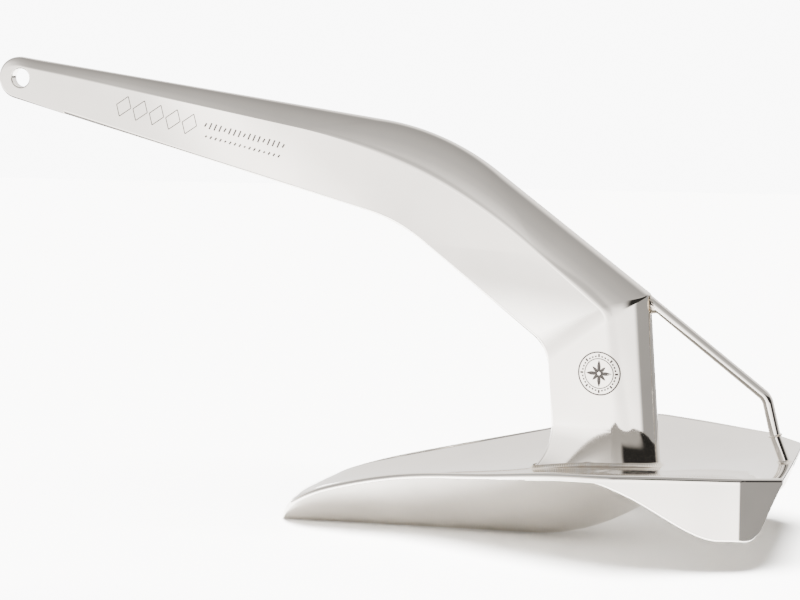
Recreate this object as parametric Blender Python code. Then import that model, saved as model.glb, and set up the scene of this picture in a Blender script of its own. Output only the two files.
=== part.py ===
"""Fluke anchor, polished stainless steel: a welded, rigid anchor with a hollow shank and a concave fluke.

Frame: metres, +Z up, +X from the shackle eye towards the fluke's rear edge, Y across.
The origin is the centre of the shackle eye, and the XZ plane is the plane of symmetry.
"""
import math

import bmesh
import bpy
import numpy as np
from mathutils import Vector

MM = 0.001

# ---- fits -------------------------------------------------------------------
SEAM = 0.3 * MM             # gap kept between two pieces that butt together
SEAT = 0.5 * MM             # gap kept where a piece stands on the curved blade
LEAD_SHRINK = 1.0 * MM      # cast lead shrinks away from the chamber walls

# ---- fluke ------------------------------------------------------------------
FLUKE_LENGTH = 686.0 * MM
FLUKE_HALF_WIDTH = 229.0 * MM
TIP_X = 366.5 * MM          # the tip's place, measured from the shackle eye
KEEL_Z = -592.0 * MM
CREST_HEIGHT = 127.0 * MM   # highest point of the fluke's edge above the keel line
VALLEY_DEPTH = 27.0 * MM    # how far the blade dips below its edges
BLADE_PLATE = 6.0 * MM
KEEL_PLATE = 5.0 * MM
WING_PLATE = 6.0 * MM
CREST_BAR = 8.0 * MM        # side of the ground weld that runs along the fluke's edge
CREST_ROUND = 5.0 * MM
BEAK_LENGTH = 66.0 * MM     # solid nose ahead of the plates
BALLAST_LENGTH = 180.0 * MM
WING_DEPTH = 79.0 * MM
WING_FLARE = math.radians(1.5)
WING_SWEEP = 1.6            # above 1 the wing's lower edge starts down late
WING_TAIL_LEAN = 29.5 * MM  # how far the wing's rear edge runs forward along the fold at its foot
WING_TAIL_LIFT = 0.26       # share of its depth that the wing loses at its rear edge
KEEL_HOLLOW = 1.12          # 1 makes the keel's sides flat, above 1 hollows them

# Places along the fluke, as shares of its length from tip to rear edge.
SHOULDER = 0.69
WING_START = 0.547
WING_KINK = 0.932
WING_FULL = 0.897           # from here on the wing hangs to its full depth
KEEL_RISE_START = 0.51
KEEL_END = 0.81
STERN_PLATE_AT = 0.93       # share of the closing stretch where the stern plate stands

# Table of offsets of the fluke's edge: place along it, half width, height of the edge.
OFFSETS = [
    (0.000, 0.000, 0.000),
    (0.014, 0.092, 0.135),
    (0.053, 0.228, 0.327),
    (0.123, 0.310, 0.498),
    (0.263, 0.405, 0.685),
    (0.471, 0.716, 0.860),
    (0.616, 0.930, 0.975),
    (SHOULDER, 1.000, 1.000),
    (0.759, 0.935, 0.988),
    (0.921, 0.739, 0.940),
    (WING_KINK, 0.726, 0.937),
    (0.941, 0.703, 0.931),
    (1.000, 0.551, 0.893),
]
# Depth of the blade's middle below its edges, as a share of VALLEY_DEPTH; the beak stands proud.
DIPS = [
    (0.0, 0.0),
    (0.03, -0.2),
    (0.075, -0.1),
    (0.14, 0.25),
    (0.263, 0.66),
    (0.5, 0.96),
    (0.755, 1.0),
    (0.9, 0.55),
    (1.0, 0.06),
]

# ---- shank ------------------------------------------------------------------
EYE_BORE = 25.0 * MM
EYE_CHAMFER = 2.0 * MM
EYE_RADIUS = 28.5 * MM
EYE_HEAD_SHIFT = -3.0 * MM       # the round head's centre, measured along X from the bore's
EYE_THICKNESS = 17.0 * MM
EYE_BLOCK_LENGTH = 62.0 * MM
SHANK_WALL = 4.0 * MM
SHANK_FRONT_WIDTH = 14.0 * MM    # width of the strip along the front edge
SHANK_FRONT_WALL = 6.0 * MM
SHANK_FOOT_THICKNESS = 60.0 * MM
SHANK_KNEE_THICKNESS = 43.0 * MM
CREASE_TURN = 0.5                # 0 rounds the crease away, 1 makes the back a parabola
FOOT_FLARE_RADIUS = 80.0 * MM
FOOT_FLARE_TURN = math.radians(47.0)

# Corners of the shank's three side-view lines, each with its bend radius: knee, heel, foot.
FRONT_LINE = [((530.0, -182.5), 240.0), ((731.5, -344.0), 58.0), ((737.8, -446.0), 0.0)]
CREASE_LINE = [((579.3, -97.3), 725.0), ((812.0, -295.0), 16.0), ((821.0, -446.0), 0.0)]
BACK_LINE = [((595.7, -62.6), 330.0), ((866.0, -269.2), 9.0), ((878.0, -446.0), 0.0)]
BACK_FOOT_X = 882.0 * MM
CREASE_FOOT_X = 821.5 * MM
CREASE_SHARE = 0.23              # share of the shank's depth taken by the rounded back at the eye

# ---- trip bar ---------------------------------------------------------------
BAR_DIAMETER = 14.0 * MM
BAR_BEND_RADIUS = 22.0 * MM
BAR_START = (875.4 * MM, -287.0 * MM)
BAR_FOOT_SETBACK = 11.0 * MM     # from the fluke's rear edge to the bar's foot
BAR_RING_BACK = 12.5 * MM        # ring and bend, measured from the foot
BAR_RING_RISE = 33.0 * MM
BAR_BEND_BACK = 24.0 * MM
BAR_BEND_RISE = 82.0 * MM
BAR_RING_WIDTH = 3.0 * MM
BAR_RING_STAND = 2.2 * MM
WELD_LEG = 7.0 * MM

# ---- fineness of the meshes -------------------------------------------------
FLUKE_STEPS = 34
BLADE_STEPS = 16
KEEL_STEPS = 8
LEG_STEPS = (8, 6, 5)
BEND_STEPS = (7, 5, 5)
BACK_STEPS = 8
ROUND_SIDES = 16

FINISHES = {
    "mirror_polished_steel": ((0.80, 0.79, 0.77), 0.08, 1.0),
    "weld_steel": ((0.62, 0.60, 0.57), 0.25, 1.0),
    "cast_lead": ((0.22, 0.22, 0.24), 0.6, 1.0),
}


# ---- helpers ----------------------------------------------------------------
def clear_scene():
    for obj in list(bpy.data.objects):
        bpy.data.objects.remove(obj, do_unlink=True)


def finish_material(name, node):
    colour, roughness, metallic = FINISHES[name]
    material = bpy.data.materials.new(name + "_" + node)
    material.use_nodes = True
    shader = material.node_tree.nodes["Principled BSDF"]
    shader.inputs["Base Color"].default_value = (*colour, 1.0)
    shader.inputs["Roughness"].default_value = roughness
    shader.inputs["Metallic"].default_value = metallic
    return material


def add_node(name, bm, finish, smooth_angle=30.0):
    """Make one named object from a bmesh, with its faces out and its round faces shaded smooth."""
    bmesh.ops.remove_doubles(bm, verts=bm.verts, dist=0.00001)
    bmesh.ops.recalc_face_normals(bm, faces=bm.faces)
    mesh = bpy.data.meshes.new(name)
    bm.to_mesh(mesh)
    bm.free()
    mesh.shade_smooth()
    mesh.set_sharp_from_angle(angle=math.radians(smooth_angle))
    obj = bpy.data.objects.new(name, mesh)
    bpy.context.scene.collection.objects.link(obj)
    mesh.materials.append(finish_material(finish, name))
    return obj


def grid_faces(bm, grid, close_across=False):
    """Join a table of vertices, rows by columns, with quads."""
    for upper, lower in zip(grid[:-1], grid[1:]):
        count = len(upper)
        last = count if close_across else count - 1
        for i in range(last):
            j = (i + 1) % count
            bm.faces.new((upper[i], upper[j], lower[j], lower[i]))


def shell(name, outer, inner, finish):
    """A closed plate between two grids of points, outer and inner, each rows by columns by xyz."""
    bm = bmesh.new()
    sides = [[[bm.verts.new(point) for point in row] for row in grid] for grid in (outer, inner)]
    for grid in sides:
        grid_faces(bm, grid)
    over, under = sides
    for row in (0, -1):
        grid_faces(bm, [over[row], under[row]])
    for column in (0, -1):
        grid_faces(bm, [[row[column] for row in over], [row[column] for row in under]])
    return add_node(name, bm, finish)


def loft(name, rings, finish, closed=False, smooth_angle=30.0):
    """A solid through rings of points; its ends are capped unless the rings close on themselves."""
    bm = bmesh.new()
    rows = [[bm.verts.new(point) for point in ring] for ring in rings]
    grid_faces(bm, rows, close_across=True)
    if closed:
        grid_faces(bm, [rows[-1], rows[0]], close_across=True)
    else:
        bm.faces.new(rows[0])
        bm.faces.new(rows[-1])
    return add_node(name, bm, finish, smooth_angle)


def mirrored(points):
    """The same points on the other side of the plane of symmetry."""
    flipped = np.array(points, dtype=float)
    flipped[..., 1] *= -1.0
    return flipped


def ease(t):
    t = min(max(t, 0.0), 1.0)
    return t * t * (3.0 - 2.0 * t)


def smooth_curve(table, at):
    """Value at a place, on a curve through a table that never overshoots its own points."""
    places, values = np.array(table, dtype=float).T
    steps = np.diff(places)
    slopes = np.diff(values) / steps
    tangents = np.zeros(len(places))
    tangents[0] = slopes[0]
    tangents[-1] = slopes[-1]
    for i in range(1, len(places) - 1):
        if slopes[i - 1] * slopes[i] > 0.0:
            tangents[i] = 2.0 * slopes[i - 1] * slopes[i] / (slopes[i - 1] + slopes[i])
    i = int(np.clip(np.searchsorted(places, at) - 1, 0, len(steps) - 1))
    t = (at - places[i]) / steps[i]
    rise = values[i + 1] - values[i]
    start_pull = t * (1.0 - t) ** 2 * steps[i] * tangents[i]
    end_pull = t * t * (t - 1.0) * steps[i] * tangents[i + 1]
    return values[i] + rise * ease(t) + start_pull + end_pull


# ---- the fluke's surfaces -----------------------------------------------------
def fluke_x(share):
    return TIP_X + FLUKE_LENGTH * share


def share_at(x):
    return (x - TIP_X) / FLUKE_LENGTH


def half_width(share):
    return FLUKE_HALF_WIDTH * smooth_curve([(row[0], row[1]) for row in OFFSETS], share)


def crest_z(share):
    return KEEL_Z + CREST_HEIGHT * smooth_curve([(row[0], row[2]) for row in OFFSETS], share)


def blade_z(x, y):
    """Upper face of the blade: a parabola across, from one edge down to the valley and up again."""
    share = share_at(x)
    across = min(abs(y) / half_width(share), 1.0)
    dip = VALLEY_DEPTH * smooth_curve(DIPS, share)
    return crest_z(share) - dip * (1.0 - across ** 2)


def blade_under_z(x, y):
    share = share_at(x)
    width = half_width(share)
    slope = 2.0 * VALLEY_DEPTH * smooth_curve(DIPS, share) * abs(y) / width ** 2
    return blade_z(x, y) - BLADE_PLATE * math.hypot(1.0, slope)


def closing_share(share):
    """How far the ballast chamber has closed in towards its stern, 0 to 1."""
    return min(max((share - WING_START) / (KEEL_END - WING_START), 0.0), 1.0)


def chamber_half_width(share):
    lap = (WING_PLATE + 4.0 * SEAM) * ease((share - WING_START + 0.07) / 0.07)
    return (half_width(share) - 0.5 * MM - lap) * (1.0 - closing_share(share) ** 2)


def chamber_top_z(share):
    """Height of the keel plates' upper edge, under the crest bar or under the blade."""
    under_bar = crest_z(share) - CREST_BAR - SEAM
    under_blade = blade_under_z(fluke_x(share), chamber_half_width(share)) - SEAM
    return min(under_bar, under_blade)


def keel_line_z(share):
    """Flat from the tip, then rising as a parabola until it meets the blade."""
    rise = max((share - KEEL_RISE_START) / (KEEL_END - KEEL_RISE_START), 0.0)
    reach = blade_under_z(fluke_x(KEEL_END), 0.0) - KEEL_Z
    return KEEL_Z + reach * rise ** 2


def keel_z(share, y, edge_drop=1.0 * MM):
    """Outer face of the keel plates: a slightly hollow V from the keel line to the upper edge."""
    across = min(abs(y) / chamber_half_width(share), 1.0)
    low = keel_line_z(share)
    return low + (chamber_top_z(share) - edge_drop - low) * across ** KEEL_HOLLOW


def keel_inner_z(share, y):
    step = 1.0 * MM
    slope = (keel_z(share, abs(y) + step) - keel_z(share, abs(y))) / step
    if abs(y) + step > chamber_half_width(share):
        slope = (keel_z(share, abs(y)) - keel_z(share, abs(y) - step)) / step
    inner = keel_z(share, y) + KEEL_PLATE * math.hypot(1.0, slope)
    return min(inner, chamber_top_z(share), blade_under_z(fluke_x(share), y) - 2.0 * SEAM)


def crest_shares(start, end):
    """Stations along the fluke, with one exactly on the wing's kink."""
    shares = list(np.linspace(start, end, FLUKE_STEPS))
    if start < WING_KINK < end:
        nearest = int(np.argmin([abs(share - WING_KINK) for share in shares]))
        shares[nearest] = WING_KINK
    return shares


# ---- the fluke's pieces -------------------------------------------------------
def make_beak():
    """Solid nose: keel line, side, rounded edge and hollow top, drawn from the tip back."""
    end = BEAK_LENGTH / FLUKE_LENGTH
    rings = []
    for share in end * np.linspace(0.06, 1.0, 12) ** 1.5:
        width = half_width(share)
        top = crest_z(share)
        rounding = min(CREST_ROUND, 0.3 * width)
        side = [(y, keel_line_z(share) + (top - rounding - keel_line_z(share)) * (y / width) ** KEEL_HOLLOW)
                for y in width * np.linspace(0.0, 1.0, 6)]
        turn = [(width - rounding * (1.0 - math.cos(a)), top - rounding * (1.0 - math.sin(a)))
                for a in np.radians([30.0, 60.0, 90.0])]
        x = fluke_x(share)
        hollow = [(y, blade_z(x, y)) for y in (width - rounding) * np.linspace(0.8, 0.0, 5)]
        half = side + turn + hollow
        ring = [(x, y, z) for y, z in half]
        ring += [(x, -y, z) for y, z in reversed(half[1:-1])]
        rings.append(ring)
    loft("fluke_beak", rings, "mirror_polished_steel")


def make_blade():
    start = BEAK_LENGTH / FLUKE_LENGTH + SEAM / FLUKE_LENGTH
    outer = []
    inner = []
    for share in crest_shares(start, 1.0):
        edge = half_width(share) - CREST_BAR - SEAM
        x = fluke_x(share)
        ys = edge * np.linspace(-1.0, 1.0, BLADE_STEPS + 1)
        outer.append([(x, y, blade_z(x, y)) for y in ys])
        inner.append([(x, y, blade_under_z(x, y)) for y in ys])
    shell("fluke_blade", outer, inner, "mirror_polished_steel")


def make_crest_bars():
    """The ground weld along each edge: a small bar with its outer upper corner rounded."""
    start = BEAK_LENGTH / FLUKE_LENGTH + SEAM / FLUKE_LENGTH
    rings = []
    for share in crest_shares(start, 1.0):
        width = half_width(share)
        top = crest_z(share)
        x = fluke_x(share)
        turn = [(width - CREST_ROUND * (1.0 - math.cos(a)), top - CREST_ROUND * (1.0 - math.sin(a)))
                for a in np.radians([0.0, 30.0, 60.0, 90.0])]
        section = [(width - CREST_BAR, top - CREST_BAR), (width, top - CREST_BAR)] + turn
        section += [(width - CREST_BAR, top)]
        rings.append([(x, y, z) for y, z in section])
    loft("crest_weld_right", rings, "mirror_polished_steel")
    loft("crest_weld_left", mirrored(rings), "mirror_polished_steel")


def make_keel_plates():
    start = BEAK_LENGTH / FLUKE_LENGTH + SEAM / FLUKE_LENGTH
    end = WING_START + STERN_PLATE_AT * (KEEL_END - WING_START)
    outer = []
    inner = []
    for share in np.linspace(start, end, FLUKE_STEPS):
        x = fluke_x(share)
        ys = SEAM / 2.0 + (chamber_half_width(share) - SEAM / 2.0) * np.linspace(0.0, 1.0, KEEL_STEPS + 1)
        outer.append([(x, y, keel_z(share, y)) for y in ys])
        inner.append([(x, y, keel_inner_z(share, y)) for y in ys])
    for name, flip in (("keel_plate_right", np.array), ("keel_plate_left", mirrored)):
        shell(name, flip(outer), flip(inner), "mirror_polished_steel")


def make_stern_plate():
    """Closes the open stern of the ballast chamber, just behind the keel plates."""
    share = WING_START + STERN_PLATE_AT * (KEEL_END - WING_START)
    width = chamber_half_width(share)
    rings = []
    for offset in (SEAM, SEAM + KEEL_PLATE):
        x = fluke_x(share) + offset
        ys = width * np.linspace(-1.0, 1.0, 9)
        low = [(x, y, keel_z(share, y) + SEAM) for y in ys]
        high = [(x, y, blade_under_z(x, y) - SEAM) for y in reversed(ys)]
        rings.append(low + high)
    loft("chamber_stern_plate", rings, "mirror_polished_steel")


def make_ballast():
    """Lead cast in the chamber, from the beak back, clear of the plates all round."""
    start = (BEAK_LENGTH + SEAM + LEAD_SHRINK) / FLUKE_LENGTH
    end = start + BALLAST_LENGTH / FLUKE_LENGTH
    rings = []
    for share in np.linspace(start, end, 16):
        x = fluke_x(share)
        tries = chamber_half_width(share) * np.linspace(0.0, 1.0, 101)
        room = [blade_under_z(x, y) - keel_inner_z(share, y) - 2.0 * LEAD_SHRINK for y in tries]
        widest = max(y for y, space in zip(tries, room) if space > 3.0 * MM)
        ys = widest * np.linspace(-1.0, 1.0, 13)
        low = [(x, y, keel_inner_z(share, y) + LEAD_SHRINK) for y in ys]
        high = [(x, y, blade_under_z(x, y) - LEAD_SHRINK) for y in reversed(ys)]
        rings.append(low + high)
    loft("lead_ballast", rings, "cast_lead")


def make_wings():
    """Down-turned wing: it hangs from the edge, flares out, and folds inwards behind its kink."""
    shares = crest_shares(WING_START, 1.0)
    path = np.array([(fluke_x(share), half_width(share)) for share in shares])
    directions = np.gradient(path, axis=0)
    directions /= np.linalg.norm(directions, axis=1)[:, None]
    normals = np.stack([-directions[:, 1], directions[:, 0]], axis=1)
    outer = []
    inner = []
    for share, place, along, normal in zip(shares, path, directions, normals):
        top = crest_z(share) - CREST_BAR - SEAM
        fold = max((share - WING_KINK) / (1.0 - WING_KINK), 0.0)
        grow = ease(((share - WING_START) / (WING_FULL - WING_START)) ** WING_SWEEP)
        depth = max(WING_DEPTH * (1.0 - WING_TAIL_LIFT * fold ** 3) * grow - CREST_BAR - SEAM, 1.5 * MM)
        outer_row = []
        inner_row = []
        for down in np.linspace(0.0, 1.0, 7):
            drop = down * depth
            slide = -along * WING_TAIL_LEAN * fold * down
            flare = np.array((0.0, drop * math.tan(WING_FLARE)))
            xy = place + slide + flare
            back = xy - normal * WING_PLATE
            outer_row.append((xy[0], xy[1], top - drop))
            inner_row.append((back[0], back[1], top - drop))
        outer.append(outer_row)
        inner.append(inner_row)
    for name, flip in (("wing_right", np.array), ("wing_left", mirrored)):
        shell(name, flip(outer), flip(inner), "mirror_polished_steel")


# ---- the shank's lines --------------------------------------------------------
def head_point(angle):
    """A point on the round head's outer circle."""
    return np.array((EYE_HEAD_SHIFT + EYE_RADIUS * math.cos(angle), EYE_RADIUS * math.sin(angle)))


def tangent_angle(corner, side):
    """Where on the head's circle the line from a corner touches it, above (+1) or below (-1)."""
    across = corner[0] - EYE_HEAD_SHIFT
    towards = math.atan2(corner[1], across)
    return towards + side * math.acos(EYE_RADIUS / math.hypot(across, corner[1]))


def line_point(start, corner, x):
    share = (x - start[0]) / (corner[0] - start[0])
    return start + (corner - start) * share


def bent_line(start, corners, foot_x):
    """Points along a line with rounded corners; every line of the shank has as many points."""
    places = [np.array(start)] + [np.array(point) * MM for point, _ in corners]
    radii = [radius * MM for _, radius in corners]
    points = []
    here = places[0]
    for i in (1, 2):
        into = places[i] - places[i - 1]
        into /= np.linalg.norm(into)
        away = places[i + 1] - places[i]
        away /= np.linalg.norm(away)
        turn = math.acos(float(np.clip(into @ away, -1.0, 1.0)))
        cut = radii[i - 1] * math.tan(turn / 2.0)
        arc_start = places[i] - into * cut
        arc_end = places[i] + away * cut
        for t in np.linspace(0.0, 1.0, LEG_STEPS[i - 1], endpoint=False):
            points.append(here + (arc_start - here) * t)
        inwards = (away - into) / np.linalg.norm(away - into)
        centre = places[i] + inwards * radii[i - 1] / math.cos(turn / 2.0)
        first = math.atan2(*(arc_start - centre)[::-1])
        for t in np.linspace(0.0, 1.0, BEND_STEPS[i - 1], endpoint=False):
            angle = first - turn * t
            points.append(centre + radii[i - 1] * np.array((math.cos(angle), math.sin(angle))))
        here = arc_end
    for t in np.linspace(0.0, 1.0, LEG_STEPS[2], endpoint=False):
        points.append(here + (places[3] - here) * t)
    if foot_x is None:
        middle = places[3] - np.array((FOOT_FLARE_RADIUS, 0.0))
        for t in np.linspace(0.0, 1.0, BEND_STEPS[2]):
            angle = FOOT_FLARE_TURN * t
            points.append(middle + FOOT_FLARE_RADIUS * np.array((math.cos(angle), -math.sin(angle))))
    else:
        drop = FOOT_FLARE_RADIUS * math.sin(FOOT_FLARE_TURN)
        foot = np.array((foot_x, places[3][1] - drop))
        for t in np.linspace(0.0, 1.0, BEND_STEPS[2]):
            points.append(places[3] + (foot - places[3]) * t)
    return np.array(points)


def shank_lines():
    """Front, crease and back lines in side view, from the eye block to the foot."""
    front_corner = np.array(FRONT_LINE[0][0]) * MM
    back_corner = np.array(BACK_LINE[0][0]) * MM
    front_start = line_point(head_point(tangent_angle(front_corner, -1.0)), front_corner, EYE_BLOCK_LENGTH)
    back_start = line_point(head_point(tangent_angle(back_corner, 1.0)), back_corner, EYE_BLOCK_LENGTH)
    crease_start = back_start + (front_start - back_start) * CREASE_SHARE
    front = bent_line(front_start, FRONT_LINE, None)
    crease = bent_line(crease_start, CREASE_LINE, CREASE_FOOT_X)
    back = bent_line(back_start, BACK_LINE, BACK_FOOT_X)
    return front, crease, back


def shank_thickness(crease):
    """Half thickness at the crease and at the front strip, smooth along the crease's own length."""
    steps = np.linalg.norm(np.diff(crease, axis=0), axis=1)
    run = np.concatenate(([0.0], np.cumsum(steps)))
    knee = run[LEG_STEPS[0] + BEND_STEPS[0] // 2]
    heel = run[LEG_STEPS[0] + BEND_STEPS[0] + LEG_STEPS[1] + BEND_STEPS[1] // 2]
    eye = EYE_THICKNESS / 2.0
    foot = SHANK_FOOT_THICKNESS / 2.0
    table = [(0.0, eye), (0.03 * knee, eye), (knee, SHANK_KNEE_THICKNESS / 2.0), (heel, foot), (run[-1], foot)]
    at_crease = np.array([smooth_curve(table, at) for at in run])
    strip = SHANK_FRONT_WIDTH / 2.0
    at_front = np.array([eye + (strip - eye) * ease(2.0 * at / knee) for at in run])
    return at_crease, at_front


def back_curve(t, half):
    """Half thickness of the rounded back, t of the way from the crease to the back line."""
    return half * math.sqrt(max(1.0 - CREASE_TURN * t - (1.0 - CREASE_TURN) * t * t, 0.0))


def on_blade(x, y):
    return blade_z(x, y) + SEAT


def settle(rows):
    """Cut the last row of a shank piece to the blade under it."""
    rows[-1] = [(x, y, on_blade(x, y)) for x, y, _ in rows[-1]]
    return rows


# ---- the shank's pieces -------------------------------------------------------
def make_side_plates(front, crease, halves, strips):
    outer = []
    inner = []
    for f, c, half, strip in zip(front, crease, halves, strips):
        depth = np.linalg.norm(c - f)
        slant = math.hypot(1.0, (half - strip) / depth)
        ts = np.linspace((SHANK_FRONT_WALL + SEAM) / depth, 1.0 - SEAM / depth, 3)
        points = [(f + (c - f) * t, strip + (half - strip) * t) for t in ts]
        outer.append([(p[0], y, p[1]) for p, y in points])
        inner.append([(p[0], y - SHANK_WALL * slant, p[1]) for p, y in points])
    outer = settle(outer)
    inner = settle(inner)
    for name, flip in (("shank_side_right", np.array), ("shank_side_left", mirrored)):
        shell(name, flip(outer), flip(inner), "mirror_polished_steel")


def make_back_cover(crease, back, halves):
    outer = []
    inner = []
    for c, b, half in zip(crease, back, halves):
        depth = np.linalg.norm(b - c)
        ts = 1.0 - np.linspace(1.0, 0.0, BACK_STEPS) ** 1.6
        outer_half = [(c + (b - c) * t, back_curve(t, half)) for t in ts]
        inner_end = 1.0 - SHANK_WALL / depth
        inner_half = [(c + (b - c) * t * inner_end, back_curve(t, half - SHANK_WALL)) for t in ts]
        for rows, points in ((outer, outer_half), (inner, inner_half)):
            one_side = [(p[0], y, p[1]) for p, y in points]
            rows.append(one_side + [(x, -y, z) for x, y, z in reversed(one_side[:-1])])
    shell("shank_back_cover", settle(outer), settle(inner), "mirror_polished_steel")


def make_front_strip(front, crease, strips):
    rings = []
    for f, c, strip in zip(front, crease, strips):
        inwards = (c - f) / np.linalg.norm(c - f)
        section = [(0.0, 0.55), (0.12, 0.85), (0.35, 1.0), (1.0, 1.0)]
        section += [(depth, -across) for depth, across in reversed(section)]
        points = [(f + inwards * SHANK_FRONT_WALL * depth, strip * across) for depth, across in section]
        rings.append([(p[0], y, p[1]) for p, y in points])
    loft("shank_front_strip", settle(rings), "mirror_polished_steel")


def make_eye_block():
    """Solid end of the shank: a round head with parallel cheeks, bored and chamfered for the shackle."""
    half = EYE_THICKNESS / 2.0
    front_corner = np.array(FRONT_LINE[0][0]) * MM
    back_corner = np.array(BACK_LINE[0][0]) * MM
    low_angle = tangent_angle(front_corner, -1.0)
    high_angle = tangent_angle(back_corner, 1.0)
    touches = [head_point(low_angle), head_point(high_angle)]
    pairs = []
    for t in np.linspace(0.12, 1.0, 11):
        low = head_point(-math.pi + (low_angle + math.pi) * t)
        high = head_point(math.pi + (high_angle - math.pi) * t)
        pairs.append((low, high))
    end = EYE_BLOCK_LENGTH - SEAM
    for x in np.linspace(0.25 * end, end, 4):
        pairs.append((line_point(touches[0], front_corner, x), line_point(touches[1], back_corner, x)))
    rings = []
    edge = 2.5 * MM
    for f, b in pairs:
        c = b + (f - b) * CREASE_SHARE
        inwards = (c - f) / np.linalg.norm(c - f)
        corner = min(edge, 0.2 * np.linalg.norm(c - f))
        half_ring = [(f, half - edge), (f + inwards * corner, half)]
        half_ring += [(c + (b - c) * t, back_curve(t, half)) for t in (0.0, 0.3, 0.6, 0.82, 0.95, 1.0)]
        ring = [(p[0], y, p[1]) for p, y in half_ring]
        ring += [(x, -y, z) for x, y, z in reversed(ring[:-1])]
        rings.append(ring)
    eye = loft("shank_eye_block", rings, "mirror_polished_steel", smooth_angle=25.0)
    cutter = make_bore_cutter(half)
    cut = eye.modifiers.new("shackle_bore", "BOOLEAN")
    cut.operation = "DIFFERENCE"
    cut.solver = "EXACT"
    cut.object = cutter


def make_bore_cutter(half):
    radius = EYE_BORE / 2.0
    beyond = 5.0 * MM
    profile = [(radius + EYE_CHAMFER + beyond, half + beyond), (radius, half - EYE_CHAMFER)]
    profile += [(radius, EYE_CHAMFER - half), (radius + EYE_CHAMFER + beyond, -half - beyond)]
    rings = []
    for r, y in profile:
        angles = np.linspace(0.0, 2.0 * math.pi, 32, endpoint=False)
        rings.append([(r * math.cos(a), y, r * math.sin(a)) for a in angles])
    cutter = loft("shackle_bore_cutter", rings, "mirror_polished_steel")
    cutter.hide_render = True
    cutter.display_type = "WIRE"
    return cutter


def foot_outline(front, crease, back, halves, strips):
    """The shank's outline where it stands on the blade, as points with outward directions."""
    f, c, b = front[-1][0], crease[-1][0], back[-1][0]
    half, strip = halves[-1], strips[-1]
    right = [(f, 0.0), (f, 0.8 * strip), (f + 0.4 * SHANK_FRONT_WALL, strip)]
    right += [(f + (c - f) * t, strip + (half - strip) * t) for t in (0.2, 0.4, 0.6, 0.8, 1.0)]
    right += [(c + (b - c) * t, back_curve(t, half)) for t in (0.25, 0.5, 0.7, 0.85, 0.96, 1.0)]
    loop = np.array(right + [(x, -y) for x, y in reversed(right[1:-1])])
    along = np.roll(loop, -1, axis=0) - np.roll(loop, 1, axis=0)
    outward = np.stack([-along[:, 1], along[:, 0]], axis=1)
    outward /= np.linalg.norm(outward, axis=1)[:, None]
    return loop, outward


def make_foot_weld(front, crease, back, halves, strips):
    """Fillet weld round the shank's foot, laid on the blade."""
    loop, outward = foot_outline(front, crease, back, halves, strips)
    section = [(0.0, 0.0), (1.0, 0.0), (0.55, 0.4), (0.0, 1.0)]
    start = 2.0 * SEAT
    rings = []
    for place, away in zip(loop, outward):
        ring = []
        for out, up in section:
            x, y = place + away * (start + out * WELD_LEG)
            ring.append((x, y, on_blade(x, y) + up * WELD_LEG))
        rings.append(ring)
    loft("shank_foot_weld", rings, "weld_steel", closed=True)


# ---- the trip bar -------------------------------------------------------------
def turned(name, start, end, profile, finish, bore=None):
    """A round piece on the axis from start to end; the profile gives (distance along, radius)."""
    start = Vector((start[0], 0.0, start[1]))
    end = Vector((end[0], 0.0, end[1]))
    axis = (end - start).normalized()
    side = Vector((0.0, 1.0, 0.0))
    other = axis.cross(side)
    outline = list(profile)
    if bore:
        outline = outline + [(profile[-1][0], bore), (profile[0][0], bore)]
    rings = []
    for along, radius in outline:
        ring = []
        for a in np.linspace(0.0, 2.0 * math.pi, ROUND_SIDES, endpoint=False):
            ring.append(start + axis * along + (side * math.cos(a) + other * math.sin(a)) * radius)
        rings.append(ring)
    loft(name, rings, finish, closed=bool(bore))


def slide_to_back(point, direction, clearance):
    """Move a point of the bar's end along the bar until it lies on the shank's rear face."""
    high = np.array(BACK_LINE[1][0]) * MM
    low = np.array(BACK_LINE[2][0]) * MM
    lean = (low[0] - high[0]) / (high[1] - low[1])
    face_x = high[0] + lean * (high[1] - point[2]) + clearance
    travel = (face_x - point[0]) / (direction[0] + lean * direction[1])
    return (point[0] + direction[0] * travel, point[1], point[2] + direction[1] * travel)


def round_ring(place, direction, radius):
    """A circle of points square to a direction in the XZ plane."""
    ring = []
    for a in np.linspace(0.0, 2.0 * math.pi, ROUND_SIDES, endpoint=False):
        out = math.sin(a) * radius
        ring.append((place[0] + out * direction[1], math.cos(a) * radius, place[1] - out * direction[0]))
    return ring


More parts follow.
